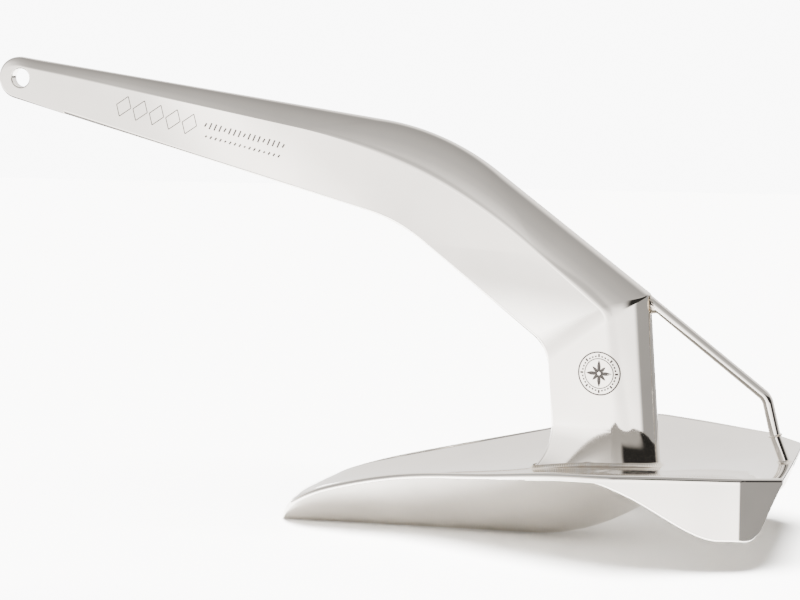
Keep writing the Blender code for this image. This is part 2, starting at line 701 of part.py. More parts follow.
def make_trip_bar():
    """The long bar, its weld ring, the short foot below the ring, and the welds at both ends."""
    rear = TIP_X + FLUKE_LENGTH
    foot_x = rear - BAR_FOOT_SETBACK
    foot = np.array((foot_x, on_blade(foot_x, 0.0)))
    ring_at = foot + np.array((-BAR_RING_BACK, BAR_RING_RISE))
    bend = foot + np.array((-BAR_BEND_BACK, BAR_BEND_RISE))
    start = np.array(BAR_START)
    radius = BAR_DIAMETER / 2.0

    into = (bend - start) / np.linalg.norm(bend - start)
    away = (ring_at - bend) / np.linalg.norm(ring_at - bend)
    turn = math.acos(float(into @ away))
    cut = BAR_BEND_RADIUS * math.tan(turn / 2.0)
    inwards = (away - into) / np.linalg.norm(away - into)
    centre = bend + inwards * BAR_BEND_RADIUS / math.cos(turn / 2.0)
    first = math.atan2(*(bend - into * cut - centre)[::-1])
    rings = [round_ring(start, into, radius)]
    for angle in np.linspace(first, first - turn, 8):
        place = centre + BAR_BEND_RADIUS * np.array((math.cos(angle), math.sin(angle)))
        rings.append(round_ring(place, (math.sin(angle), -math.cos(angle)), radius))
    end_gap = BAR_RING_WIDTH / 2.0 + SEAM
    rings.append(round_ring(ring_at - away * end_gap, away, radius))
    rings[0] = [slide_to_back(point, into, SEAT) for point in rings[0]]
    loft("trip_bar", rings, "mirror_polished_steel")

    half = BAR_RING_WIDTH / 2.0
    crown = radius + BAR_RING_STAND
    bead = [(-half, radius), (-0.5 * half, crown), (0.5 * half, crown), (half, radius)]
    turned("trip_bar_ring", ring_at, ring_at + away, bead, "weld_steel")

    down = (foot - ring_at) / np.linalg.norm(foot - ring_at)
    stub_start = ring_at + down * (half + 2.0 * SEAM + radius * 0.12)
    slope_room = radius * abs(down[0] / down[1])
    stub_end = foot - down * (slope_room + SEAM)
    length = np.linalg.norm(stub_end - stub_start)
    turned("trip_bar_foot", stub_start, stub_end, [(0.0, radius), (length, radius)], "mirror_polished_steel")

    skin = radius + SEAM
    reach = 1.6 * WELD_LEG
    section = [(0.0, skin), (0.0, radius + 2.6 * MM), (WELD_LEG, radius + 1.4 * MM)]
    section += [(reach, skin + SEAM), (reach, skin)]
    rings = []
    for steps in zip(*[round_ring(start, into, at) for _, at in section]):
        seats = [slide_to_back(point, into, 2.0 * SEAT) for point in steps]
        rings.append([(seat[0] + into[0] * along, seat[1], seat[2] + into[1] * along)
                      for seat, (along, _) in zip(seats, section)])
    loft("trip_bar_top_weld", rings, "weld_steel", closed=True)

    leg = 0.55 * WELD_LEG
    lean = leg * abs(down[0] / down[1])
    rings = []
    for a in np.linspace(0.0, 2.0 * math.pi, ROUND_SIDES, endpoint=False):
        ring = []
        for out, up in [(0.0, 0.0), (1.0, 0.0), (0.5, 0.45), (0.0, 1.0)]:
            reach = radius * 1.25 + 2.0 * SEAM + out * leg
            x = foot[0] - up * lean + reach * math.cos(a)
            y = reach * math.sin(a)
            ring.append((x, y, on_blade(min(x, rear), y) + up * leg))
        rings.append(ring)
    loft("trip_bar_foot_weld", rings, "weld_steel", closed=True)


def main():
    clear_scene()
    make_beak()
    make_blade()
    make_crest_bars()
    make_keel_plates()
    make_stern_plate()
    make_ballast()
    make_wings()
    front, crease, back = shank_lines()
    halves, strips = shank_thickness(crease)
    make_side_plates(front, crease, halves, strips)
    make_back_cover(crease, back, halves)
    make_front_strip(front, crease, strips)
    make_foot_weld(front, crease, back, halves, strips)
    make_eye_block()
    make_trip_bar()


main()
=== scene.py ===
"""Fluke anchor in mirror-polished stainless steel: finished surfaces, materials and studio.

Laid out as an add-on and run as a script. Every surface is a formula worked out with numpy on
a grid, in metres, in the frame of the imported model: the origin is the centre of the shackle
bore, +X runs to the fluke's rear edge, +Y across, +Z up, and XZ is the plane of symmetry.
"""
import math

import bmesh
import bpy
import numpy as np
from bpy.props import FloatProperty, FloatVectorProperty, IntProperty, PointerProperty
from bpy.types import Operator, Panel, PropertyGroup
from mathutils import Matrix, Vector


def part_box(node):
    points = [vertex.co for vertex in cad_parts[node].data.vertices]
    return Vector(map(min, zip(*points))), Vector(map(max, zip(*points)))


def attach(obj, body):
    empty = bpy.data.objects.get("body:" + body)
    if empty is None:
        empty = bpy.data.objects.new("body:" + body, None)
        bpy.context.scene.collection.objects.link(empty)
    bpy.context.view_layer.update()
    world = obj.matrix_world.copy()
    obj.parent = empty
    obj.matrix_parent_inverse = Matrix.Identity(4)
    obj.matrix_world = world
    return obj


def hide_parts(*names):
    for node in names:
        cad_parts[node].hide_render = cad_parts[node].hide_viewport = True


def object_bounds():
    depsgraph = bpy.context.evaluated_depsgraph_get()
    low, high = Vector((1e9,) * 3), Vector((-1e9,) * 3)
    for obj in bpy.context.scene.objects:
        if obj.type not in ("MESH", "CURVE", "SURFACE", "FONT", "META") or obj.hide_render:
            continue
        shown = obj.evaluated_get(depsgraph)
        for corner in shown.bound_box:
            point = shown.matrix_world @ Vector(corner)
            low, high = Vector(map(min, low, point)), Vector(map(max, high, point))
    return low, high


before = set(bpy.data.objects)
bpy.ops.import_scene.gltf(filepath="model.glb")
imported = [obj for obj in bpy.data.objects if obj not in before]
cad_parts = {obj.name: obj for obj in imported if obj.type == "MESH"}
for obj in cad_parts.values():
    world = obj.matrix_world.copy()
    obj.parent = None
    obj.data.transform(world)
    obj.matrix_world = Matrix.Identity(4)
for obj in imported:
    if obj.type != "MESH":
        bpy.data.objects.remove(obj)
CAD_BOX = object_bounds()

bl_info = {
    "name": "Fluke Anchor Surfaces",
    "version": (1, 0, 0),
    "blender": (4, 5, 0),
    "location": "View3D > Sidebar > Anchor",
    "description": "Builds the polished surfaces of a fluke anchor round its packed frame",
    "category": "Add Mesh",
}

MM = 0.001
BODY = "root"

REAR_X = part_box("fluke_blade")[1][0]
KEEL_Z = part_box("keel_plate_right")[0][2]
FLUKE_HALF_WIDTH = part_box("crest_weld_right")[1][1]
EYE_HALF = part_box("shank_eye_block")[1][1]

# ---- looks: a material, and the CAD slot of the pieces that wear it ----------------------------
POLISHED = ("mirror_polished_stainless", "polished_steel")
WELDED = ("buffed_weld_metal", "weld_steel")
ETCHED = ("laser_etched_oxide", "polished_steel")

# ---- the fluke: places as shares of its length, from the tip to the rear edge ------------------
SHOULDER = 0.69             # widest and highest place of the edges
WING_START = 0.547          # the down-turned wing grows from here
WING_KINK = 0.932           # its pressed bend
WING_FULL = 0.897           # its full depth
KEEL_RISE_START = 0.51      # the keel leaves the level
KEEL_END = 0.81             # where it would meet the blade
STERN_PLATE_AT = 0.93       # stern plate, as a share of the way from the wing's start to there
BEND_REACH = 0.022          # extra rows this near to the wing's bend
TUCK_FADE = 0.09            # run over which the rim's inward turn fades out
LAP_FADE = 0.07             # run over which the keel plate steps in behind the wing
LEAST_CHAMBER = 0.4         # keel plate's upper edge, as a least share of the crest's height
WING_LAP = 1.2 * MM         # room between the keel plate and the wing
PLATE_GAP = 0.6 * MM        # room between the keel plate's inside and the blade
LEAST_PLATE = 0.2 * MM      # thinnest that the keel plate gets where it closes on the blade
LEAST_WING = 1.5 * MM       # depth of the wing where it starts

# Place along the fluke: half width and edge height, as shares of the greatest.
WIDTHS = [(0.0, 0.0), (0.014, 0.092), (0.053, 0.228), (0.123, 0.310), (0.263, 0.405),
          (0.471, 0.716), (0.616, 0.930), (SHOULDER, 1.0), (0.759, 0.935), (0.921, 0.739),
          (WING_KINK, 0.726), (0.941, 0.703), (1.0, 0.551)]
CRESTS = [(0.0, 0.0), (0.014, 0.135), (0.053, 0.327), (0.123, 0.498), (0.263, 0.685),
          (0.471, 0.860), (0.616, 0.975), (SHOULDER, 1.0), (0.759, 0.988), (0.921, 0.940),
          (WING_KINK, 0.937), (0.941, 0.931), (1.0, 0.893)]
# Depth of the blade's middle below its edges, as a share of the valley's greatest depth.
DIPS = [(0.0, 0.0), (0.03, -0.2), (0.075, -0.1), (0.14, 0.25), (0.263, 0.66), (0.5, 0.96),
        (0.755, 1.0), (0.9, 0.55), (1.0, 0.06)]

# ---- the shank, in millimetres -----------------------------------------------------------------
# Corners of its side-view lines, each with its bend radius: knee, heel, foot.
FRONT_LINE = [((530.0, -182.5), 240.0), ((731.5, -344.0), 58.0), ((737.8, -446.0), 0.0)]
CREASE_LINE = [((579.3, -97.3), 725.0), ((812.0, -295.0), 30.0), ((821.0, -446.0), 0.0)]
BACK_LINE = [((595.7, -62.6), 330.0), ((866.0, -269.2), 2.5), ((878.0, -446.0), 0.0)]
CREASE_FOOT_X = 821.5 * MM
BACK_FOOT_X = 882.0 * MM
FOOT_TOP_Z = -446.0 * MM
CREASE_SHARE = 0.23         # depth of the rounded band at the eye, as a share of the shank's
CREASE_TURN = 0.5           # slope of the band beside the crease; 0 would be a quarter ellipse
CREASE_EASE = (5.0, 9.0, 14.0, 34.0)    # width that eases the crease: eye, knee, heel, foot
EYE_BLEND = 0.03            # share of the way to the knee before the shank starts to thicken
BACK_BUNCH = 1.9            # power that bunches the back's columns at its middle

# Rows of points on each straight leg and in each bend; the last pair is the foot's flare.
LEG_ROWS = (90, 60, 30)
BEND_ROWS = (70, 50, 50)

# ---- bar and welds -----------------------------------------------------------------------------
RING_FROM_FOOT = (-12.5, 33.0)      # the weld ring and the bar's bend, from the bar's foot
BEND_FROM_FOOT = (-24.0, 82.0)
COLLAR_RUN = (2.5, 8.0)             # collar along the bar: on top, and what the underside adds
COLLAR_STAND = (0.5, 4.8)           # how far it stands out, likewise
WELD_SINK = 0.5 * MM                # how far a bead's hidden side runs into the metal
WALL_SINK = 0.4 * MM                # the same, into the shank's wall

# ---- etched ornament, in millimetres -----------------------------------------------------------
STAR_AT = (804.0, -372.0)
STAR_RINGS = ((28.9, 26.9), (20.1, 18.7))
STAR_RADII = (17.6, 5.6, 12.6, 5.6)         # long ray, notch, short ray, notch
STAR_HOLE = 2.2
SCALE_TICKS = 32
SCALE_FROM, SCALE_TO, SCALE_TO_LONG, SCALE_WIDTH = 21.4, 23.6, 25.6, 2.6
ROW_TILT = math.radians(-13.5)              # slope of the upper shank
LOZENGES_AT, LOZENGES, LOZENGE_PITCH, LOZENGE_LINE = (196.0, -48.0), 5, 24.0, 1.2
LOZENGE = ((-10.5, 0.0), (3.5, 14.5), (10.5, 0.0), (-3.5, -14.5))
TICKS_AT, TICK_PITCH, TICK_LINE, TICK_SLANT = (319.0, -79.0), 7.0, 2.2, 1.1
TICK_ROWS = ((17, 9.0, 6.0), (16, 4.0, -9.0))       # count, height and place of each row
LONG_EVERY = 4                              # each fourth tick is of another length
ETCH_LIFT = 0.05 * MM                       # a mark's face stands this proud, to be seen

# ---- studio, in metres -------------------------------------------------------------------------
# Grey of the surround by the height of the direction, from below to overhead.
SKY_TONES = ((-0.6, 0.12), (-0.52, 0.12), (-0.44, 0.56), (-0.38, 0.60), (-0.28, 0.75),
             (-0.22, 0.98), (-0.17, 0.95), (-0.1, 0.60), (0.0, 0.53), (0.08, 0.42), (0.16, 0.28),
             (0.3, 0.17), (0.45, 0.13), (0.66, 0.11), (0.85, 0.09), (1.0, 0.08))
SKY_WARMTH = (1.0, 0.965, 0.93)
SKY_STRENGTH = 7.0          # seen in the metal
SKY_ON_FLOOR = 1.3          # light on matt surfaces, which get theirs from the overhead light
SKY_BEHIND = 9.4            # seen past the anchor
FLOOR_FRONT, FLOOR_FULL = -0.62, -0.36      # the floor fades in between these two places
FLOOR_RUN = 6.0
FLOOR_LEFT, FLOOR_LEFT_LEAN = -0.10, -0.443
FLOOR_RIGHT = 0.05          # past the rear edge of the box
OVERHEAD_AIM, OVERHEAD_SPREAD, OVERHEAD_STRENGTH = (0.15, 0.22, -1.0), math.radians(45.0), 39.5


# ---- sizes and colours a user would change -----------------------------------------------------
def linear(code):
    """sRGB hex to linear RGBA."""
    parts = np.array([int(code[i:i + 2], 16) / 255.0 for i in (1, 3, 5)])
    straight = np.where(parts <= 0.04045, parts / 12.92, ((parts + 0.055) / 1.055) ** 2.4)
    return (*straight.tolist(), 1.0)


def length_property(name, description, default):
    return FloatProperty(name=name, description=description, default=default, unit="LENGTH",
                         precision=4)


def number_property(name, description, default):
    return FloatProperty(name=name, description=description, default=default)


def angle_property(name, description, degrees):
    return FloatProperty(name=name, description=description, default=math.radians(degrees),
                         unit="ROTATION")


def colour_property(name, description, default):
    return FloatVectorProperty(name=name, description=description, default=linear(default),
                               subtype="COLOR", size=4, min=0.0, max=1.0)


class FlukeSizes(PropertyGroup):
    length: length_property("Length", "Fluke from tip to rear edge", 686.0 * MM)
    half_width: length_property("Half width", "From the middle to the shoulder", FLUKE_HALF_WIDTH)
    crest_height: length_property("Crest height", "Top of the edge above the keel", 127.0 * MM)
    valley_depth: length_property("Valley depth", "Dip of the blade below its edges", 27.0 * MM)
    blade_plate: length_property("Blade plate", "Thickness of the blade", 6.0 * MM)
    keel_plate: length_property("Keel plate", "Thickness of the keel plates", 5.0 * MM)
    beak_length: length_property("Beak length", "Solid nose ahead of the plates", 66.0 * MM)
    rim_width: length_property("Rim width", "Ground edge bead along the fluke", 8.0 * MM)
    rim_crown: length_property("Rim crown", "From the rim's crown out to its side", 4.5 * MM)
    rim_round: length_property("Rim round", "From the rim's crown down to its side", 5.0 * MM)
    rim_tuck: length_property("Rim tuck", "How far the rim turns in to the keel plate", 2.3 * MM)
    wing_depth: length_property("Wing depth", "Down-turned wing below the edge", 79.0 * MM)
    wing_plate: length_property("Wing plate", "Thickness of the wing", 6.0 * MM)
    wing_flare: angle_property("Wing flare", "Outward lean of the wing", 1.5)
    wing_lean: length_property("Wing lean", "Forward run of its foot behind the bend", 29.5 * MM)
    wing_sweep: number_property("Wing sweep", "Above 1 the lower edge starts down late", 1.6)
    wing_lift: number_property("Wing lift", "Share of its depth lost at the rear", 0.26)
    keel_hollow: number_property("Keel hollow", "Above 1 hollows the keel's sides", 1.12)


class ShankSizes(PropertyGroup):
    wall: length_property("Wall", "Thickness of the shank's plates", 4.0 * MM)
    strip_width: length_property("Front width", "Width of the strip at the front edge", 14.0 * MM)
    strip_depth: length_property("Front depth", "Depth of the front strip", 6.0 * MM)
    strip_round: length_property("Front round", "Radius of the strip's corners", 4.8 * MM)
    knee_thickness: length_property("Knee thickness", "Across the shank at its knee", 43.0 * MM)
    foot_thickness: length_property("Foot thickness", "Across the shank at its foot", 60.0 * MM)
    flare_radius: length_property("Flare radius", "Radius of the flare at the toe", 80.0 * MM)
    flare_turn: angle_property("Flare turn", "How far the toe turns out", 47.0)


class EyeSizes(PropertyGroup):
    bore: length_property("Bore", "Hole for the shackle's pin", 25.0 * MM)
    chamfer: length_property("Chamfer", "Bevel at each end of the bore", 2.0 * MM)
    radius: length_property("Head radius", "Round head of the eye", 28.5 * MM)
    head_shift: length_property("Head shift", "Head's centre along X from the bore's", -3.0 * MM)
    block_length: length_property("Block length", "Solid end of the shank past the bore", 62.0 * MM)
    edge_round: length_property("Edge round", "Radius along the head's edge", 3.0 * MM)


class BarSizes(PropertyGroup):
    diameter: length_property("Diameter", "Round bar", 14.0 * MM)
    bend_radius: length_property("Bend radius", "To the bar's middle line", 22.0 * MM)
    start_x: length_property("Start X", "Upper end, from the bore", 875.4 * MM)
    start_z: length_property("Start Z", "Upper end, from the bore", -287.0 * MM)
    setback: length_property("Setback", "Rear edge to the bar's foot", 11.0 * MM)
    ring_width: length_property("Ring width", "Bead of weld round the bar", 3.0 * MM)
    ring_stand: length_property("Ring height", "How far the bead stands out", 2.2 * MM)


class WeldSizes(PropertyGroup):
    leg: length_property("Leg", "Fillet round the shank's foot", 4.4 * MM)
    ripple_pitch: length_property("Ripple pitch", "Spacing of the ripples in a bead", 3.2 * MM)
    ripple_height: length_property("Ripple height", "Height of the ripples in a bead", 0.28 * MM)


class FinishColours(PropertyGroup):
    steel: colour_property("Polished steel", "Mirror-polished plate and bar", "#DEDAD4")
    weld: colour_property("Weld steel", "Buffed weld metal", "#DAD5CD")
    etched: colour_property("Etched mark", "Laser-etched oxide", "#35312E")
    lead: colour_property("Cast lead", "Ballast", "#5F6266")
    floor: colour_property("Floor", "Pale studio floor", "#F2F1EF")


class StudioSettings(PropertyGroup):
    azimuth: angle_property("Azimuth", "Camera round the part", 14.7)
    elevation: angle_property("Elevation", "Camera above the level", 7.3)
    distance: length_property("Distance", "Camera to the point it looks at", 3.29)
    aim_x: length_property("Aim X", "Point looked at, from the box's middle", 19.9 * MM)
    aim_z: length_property("Aim Z", "Point looked at, from the box's middle", -6.7 * MM)
    lens: number_property("Lens", "Focal length in mm on a 36 mm sensor", 111.8)
    bar_sides: IntProperty(name="Bar sides", description="Sides of the round bar", default=64,
                           min=16)


# ---- curves ------------------------------------------------------------------------------------
def ease(t):
    """Smooth step: three t squared less two t cubed, between 0 and 1."""
    t = np.clip(t, 0.0, 1.0)
    return t * t * (3.0 - 2.0 * t)


def table_curve(table, at):
    """Cubic Hermite curve through a table. A knot's slope is the harmonic mean of its neighbours',
    or nought where they differ in sign, so the curve never overshoots its own points."""
    places, values = np.array(table, dtype=float).T
    steps = np.diff(places)
    slopes = np.diff(values) / steps
    product = slopes[:-1] * slopes[1:]
    total = np.where(product > 0.0, slopes[:-1] + slopes[1:], 1.0)
    inner = np.where(product > 0.0, 2.0 * product / total, 0.0)
    tangents = np.concatenate((slopes[:1], inner, slopes[-1:]))
    at = np.asarray(at, dtype=float)
    i = np.clip(np.searchsorted(places, at) - 1, 0, len(steps) - 1)
    t = (at - places[i]) / steps[i]
    start_pull = t * (1.0 - t) ** 2 * steps[i] * tangents[i]
    end_pull = t * t * (t - 1.0) * steps[i] * tangents[i + 1]
    step = (values[i + 1] - values[i]) * t * t * (3.0 - 2.0 * t)
    return values[i] + step + start_pull + end_pull


def run_of(points):
    """Length along a line of points, from its start to each point."""
    return np.concatenate(([0.0], np.cumsum(np.linalg.norm(np.diff(points, axis=0), axis=1))))


def stack(x, y, z):
    """Points from three arrays that spread to one shape."""
    return np.stack(np.broadcast_arrays(x, y, z), axis=-1).astype(float)


# ---- meshes ------------------------------------------------------------------------------------
def grid_quads(rows, columns, round_rows=False, round_columns=False):
    """Vertex numbers of a grid's quads; a round grid joins its last row or column to its first."""
    i = np.arange(rows if round_rows else rows - 1)[:, None]
    j = np.arange(columns if round_columns else columns - 1)[None, :]
    below = (i + 1) % rows
    beside = (j + 1) % columns
    corners = [i * columns + j, i * columns + beside, below * columns + beside, below * columns + j]
    return np.stack(np.broadcast_arrays(*corners), axis=-1).reshape(-1, 4)


def end_quads(rows, columns, row):
    """Quads across one end of a grid of rings that run out on one face and back on the other."""
    j = np.arange(columns // 2 - 1)
    first = row * columns
    last = first + columns - 1
    return np.stack([first + j, first + j + 1, last - 1 - j, last - j], axis=-1)


def rings_solid(rings):
    """Closed solid through rings of points, with quads across both of its ends."""
    rows, columns = rings.shape[:2]
    faces = [grid_quads(rows, columns, round_columns=True), end_quads(rows, columns, 0),
             end_quads(rows, columns, rows - 1)]
    return rings.reshape(-1, 3), np.concatenate(faces)


def looped_solid(rings):
    """Closed solid whose last ring joins its first, such as a bead of weld round a foot."""
    rows, columns = rings.shape[:2]
    return rings.reshape(-1, 3), grid_quads(rows, columns, round_rows=True, round_columns=True)


def mirrored(points):
    """The same points on the other side of the plane of symmetry."""
    return points * np.array((1.0, -1.0, 1.0))


def add_piece(name, solids, look, nodes=(), sharp_angle=36.0):
    """Put solids, each a pair of points and quads, into one mesh that stands for CAD nodes."""
    finish, slot = look
    starts = np.cumsum([0] + [len(points) for points, _ in solids])
    points = np.concatenate([points for points, _ in solids])
    quads = np.concatenate([faces + start for (_, faces), start in zip(solids, starts)])
    mesh = bpy.data.meshes.new(name)
    mesh.vertices.add(len(points))
    mesh.vertices.foreach_set("co", points.astype(np.float32).ravel())
    mesh.loops.add(quads.size)
    mesh.loops.foreach_set("vertex_index", quads.astype(np.int32).ravel())
    mesh.polygons.add(len(quads))
    mesh.polygons.foreach_set("loop_start", np.arange(0, quads.size, 4, dtype=np.int32))
    mesh.update(calc_edges=True)
    merged = bmesh.new()
    merged.from_mesh(mesh)
    bmesh.ops.remove_doubles(merged, verts=merged.verts, dist=2e-6)
    bmesh.ops.recalc_face_normals(merged, faces=merged.faces)
    merged.to_mesh(mesh)
    merged.free()
    mesh.shade_smooth()
    mesh.set_sharp_from_angle(angle=math.radians(sharp_angle))
    mesh.materials.append(finishes()[finish])
    piece = bpy.data.objects.new(name, mesh)
    bpy.context.scene.collection.objects.link(piece)
    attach(piece, BODY)
    if nodes:
        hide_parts(*nodes)


def add_pair(name, rings, node, sharp_angle=36.0):
    """A polished piece on the right and its mirror image on the left."""
    for side, points in (("right", rings), ("left", mirrored(rings))):
        add_piece(f"{name}_{side}", [rings_solid(points)], POLISHED, [f"{node}_{side}"],
                  sharp_angle)


EDGE_TURN = np.radians(np.linspace(90.0, 0.0, 7))
SUPPORT = 1.08      # a line of points just inside a rounded edge keeps the flat beside it flat


def rounded_ends(places, length, radius, at_start, at_end):
    """Places along a side and how far each is sunk: a rounded end is a quarter circle, distance
    radius times one less sine and depth radius times one less cosine of the same angle."""
    away = np.concatenate((radius * (1.0 - np.sin(EDGE_TURN)), [radius * SUPPORT])) / length
    deep = np.concatenate((radius * (1.0 - np.cos(EDGE_TURN)), [0.0]))
    start = (away, deep) if at_start else (np.zeros(1), np.zeros(1))
    end = (1.0 - away[::-1], deep[::-1]) if at_end else (np.ones(1), np.zeros(1))
    low, high = start[0][-1], end[0][0]
    middle = low + (high - low) * places[1:-1]
    return (np.concatenate((start[0], middle, end[0])),
            np.concatenate((start[1], np.zeros(len(middle)), end[1])))


def plate_rings(outer, inner, us, vs, radius=0.0, round_u=(False, False), round_v=(False, False)):
    """Rings of a plate between two surfaces of (u, v), as functions of whole arrays.

    A point is the outer surface moved towards the inner one by its depth. The depth is nought on
    the face and follows a quarter circle at each rounded edge, along v and then along u."""
    u_places, u_deep = us, np.zeros(len(us))
    middle_v = np.full(len(us), 0.5)
    if radius:
        spine = outer(us, middle_v)
        length = run_of(spine)[-1]
        u_places, u_deep = rounded_ends(us, length, radius, *round_u)
    ends = np.ones(len(u_places))
    across = np.linalg.norm(outer(u_places, ends) - outer(u_places, 0.0 * ends), axis=-1)
    thick = np.linalg.norm(inner(u_places, 0.5 * ends) - outer(u_places, 0.5 * ends), axis=-1)
    rows_v, rows_h = [], []
    for width, depth in zip(across, thick):
        local = min(radius, 0.4 * width, 0.45 * depth)
        if radius:
            v, deep = rounded_ends(vs, width, local, *round_v)
        else:
            v, deep = vs, np.zeros(len(vs))
        rows_v.append(np.concatenate((v, v[::-1])))
        rows_h.append(np.concatenate((deep / depth, 1.0 - deep[::-1] / depth)))
    v = np.array(rows_v)
    h = np.array(rows_h)
    sunk = np.minimum(u_deep / thick, 0.48)[:, None]
    h = sunk + h * (1.0 - 2.0 * sunk)
    u = np.broadcast_to(u_places[:, None], v.shape)
    face = outer(u, v)
    return face + (inner(u, v) - face) * h[..., None]


# ---- the fluke's surfaces ----------------------------------------------------------------------
def fluke_sizes():
    return bpy.context.scene.anchor_fluke


def fluke_x(share):
    return REAR_X - fluke_sizes().length * (1.0 - share)


def share_at(x):
    return 1.0 - (REAR_X - x) / fluke_sizes().length


def half_width(share):
    return fluke_sizes().half_width * table_curve(WIDTHS, share)


def crest_z(share):
    return KEEL_Z + fluke_sizes().crest_height * table_curve(CRESTS, share)


def dip(share):
    return fluke_sizes().valley_depth * table_curve(DIPS, share)


def blade_z(x, y):
    """Blade's upper face: crest height less the dip times one less the square of y over width."""
    share = share_at(x)
    width = np.maximum(half_width(share), 1e-6)
    across = np.minimum(np.abs(y) / width, 1.0)
    return crest_z(share) - dip(share) * (1.0 - across ** 2)


def blade_under_z(x, y):
    """The upper face, lowered by the plate's thickness measured square to the slope across."""
    share = share_at(x)
    slope = 2.0 * dip(share) * np.abs(y) / np.maximum(half_width(share), 1e-6) ** 2
    return blade_z(x, y) - fluke_sizes().blade_plate * np.hypot(1.0, slope)


def rim_scale(share):
    """The rim's section shrinks with the width towards the tip."""
    return np.minimum(1.0, 0.3 * half_width(share) / fluke_sizes().rim_round)


def rim_tuck(share):
    """Inward turn of the rim's lower side, gone where the wing starts."""
    fade = 1.0 - ease((share - WING_START + TUCK_FADE) / TUCK_FADE)
    return fluke_sizes().rim_tuck * rim_scale(share) * fade


def rim_line(share):
    """The rim's outside from the blade over its crown to its lower corner, on the right.

    From the blade it rises with a smooth step to the crown, turns a quarter ellipse down to
    the side, and then bends in as a parabola to meet the keel plate."""
    sizes = fluke_sizes()
    share = np.asarray(share)[:, None]
    scale = rim_scale(share)
    width = half_width(share)
    top = crest_z(share)
    x = fluke_x(share)
    crown = sizes.rim_crown * scale
    round_ = sizes.rim_round * scale
    q = np.linspace(0.0, 1.0, 9)[None, :-1]
    rise_y = width - sizes.rim_width * scale + (sizes.rim_width * scale - crown) * q
    floor = blade_z(x, rise_y)
    rise_z = floor + (top - floor) * ease(q)
    a = np.linspace(0.0, math.pi / 2.0, 11)[None, :]
    turn_y = width - crown + crown * np.sin(a)
    turn_z = top - round_ + round_ * np.cos(a)
    q = np.linspace(0.0, 1.0, 6)[None, 1:]
    drop = (sizes.rim_width - sizes.rim_round) * scale
    tuck_y = width - rim_tuck(share) * q ** 2
    tuck_z = top - round_ - drop * q
    y = np.concatenate((rise_y, turn_y, tuck_y), axis=1)
    z = np.concatenate((rise_z, turn_z, tuck_z), axis=1)
    return stack(x, y, z)


def closing(share):
    """How far the ballast chamber has closed in towards its stern."""
    return np.clip((share - WING_START) / (KEEL_END - WING_START), 0.0, 1.0)


def chamber_half_width(share):
    lap = (fluke_sizes().wing_plate + WING_LAP) * ease((share - WING_START + LAP_FADE) / LAP_FADE)
    return (half_width(share) - rim_tuck(share) - lap) * (1.0 - closing(share) ** 2)


def chamber_edge_z(share):
    under_rim = crest_z(share) - fluke_sizes().rim_width * rim_scale(share)
    edge = np.minimum(under_rim, blade_under_z(fluke_x(share), chamber_half_width(share)))
    return np.maximum(edge, KEEL_Z + LEAST_CHAMBER * (crest_z(share) - KEEL_Z))


def keel_line_z(share):
    """Level from the tip, then a parabola up to the blade's underside."""
    rise = np.clip((share - KEEL_RISE_START) / (KEEL_END - KEEL_RISE_START), 0.0, None)
    reach = blade_under_z(fluke_x(KEEL_END), 0.0) - KEEL_Z
    return KEEL_Z + reach * rise ** 2


def keel_surface(share, across):
    """Hollow V: height above the keel line grows as a power of the distance across."""
    low = keel_line_z(share)
    z = low + (chamber_edge_z(share) - low) * across ** fluke_sizes().keel_hollow
    return stack(fluke_x(share), across * chamber_half_width(share), z)


def keel_inside(share, across):
    """The V moved up by its plate's thickness, and kept under the blade."""
    outside = keel_surface(share, across)
    rise = chamber_edge_z(share) - keel_line_z(share)
    slant = np.hypot(1.0, rise / np.maximum(chamber_half_width(share), 1.0 * MM))
    under = blade_under_z(outside[..., 0], outside[..., 1]) - PLATE_GAP
    z = np.minimum(outside[..., 2] + fluke_sizes().keel_plate * slant, under)
    z = np.maximum(z, outside[..., 2] + LEAST_PLATE)
    return stack(outside[..., 0], outside[..., 1], z)


def bunched(start, end, count):
    """Even places from start to end, with extra ones close to the wing's bend."""
    near = WING_KINK + BEND_REACH * np.linspace(-1.0, 1.0, 25)
    near = near[(near > start) & (near < end)]
    return np.unique(np.concatenate((np.linspace(start, end, count), near)))


def wing_surface(inside):
    """A surface of (share of the wing's run, share of its drop) on the right-hand wing."""
    sizes = fluke_sizes()
    path_share = np.linspace(WING_START, 1.0, 900)
    path = np.stack((fluke_x(path_share), half_width(path_share)), axis=1)
    along = np.gradient(path, axis=0)
    along /= np.linalg.norm(along, axis=1)[:, None]

    def surface(u, v):
        share = WING_START + (1.0 - WING_START) * u
        fold = np.clip((share - WING_KINK) / (1.0 - WING_KINK), 0.0, None)
        grow = ease(((share - WING_START) / (WING_FULL - WING_START)) ** sizes.wing_sweep)
        depth = sizes.wing_depth * (1.0 - sizes.wing_lift * fold ** 3) * grow - sizes.rim_width
        depth = np.maximum(depth, LEAST_WING)
        along_x = np.interp(share, path_share, along[:, 0])
        along_y = np.interp(share, path_share, along[:, 1])
        slide = sizes.wing_lean * fold * v
        inward = sizes.wing_plate if inside else 0.0
        flare = v * depth * math.tan(sizes.wing_flare)
        x = fluke_x(share) - along_x * slide + along_y * inward
        y = half_width(share) - along_y * slide - along_x * inward + flare
        return stack(x, y, crest_z(share) - sizes.rim_width - v * depth)

    return surface


# ---- the shank's surfaces ----------------------------------------------------------------------
def head_touch(corner, side):
    """Where the line from a corner touches the round head, above (+1) or below (-1)."""
    eye = bpy.context.scene.anchor_eye
    across = corner[0] - eye.head_shift
    spread = math.acos(eye.radius / math.hypot(across, corner[1]))
    angle = math.atan2(corner[1], across) + side * spread
    return np.array((eye.head_shift + eye.radius * math.cos(angle), eye.radius * math.sin(angle)))


def line_at(start, corner, x):
    return start + (corner - start) * (x - start[0]) / (corner[0] - start[0])


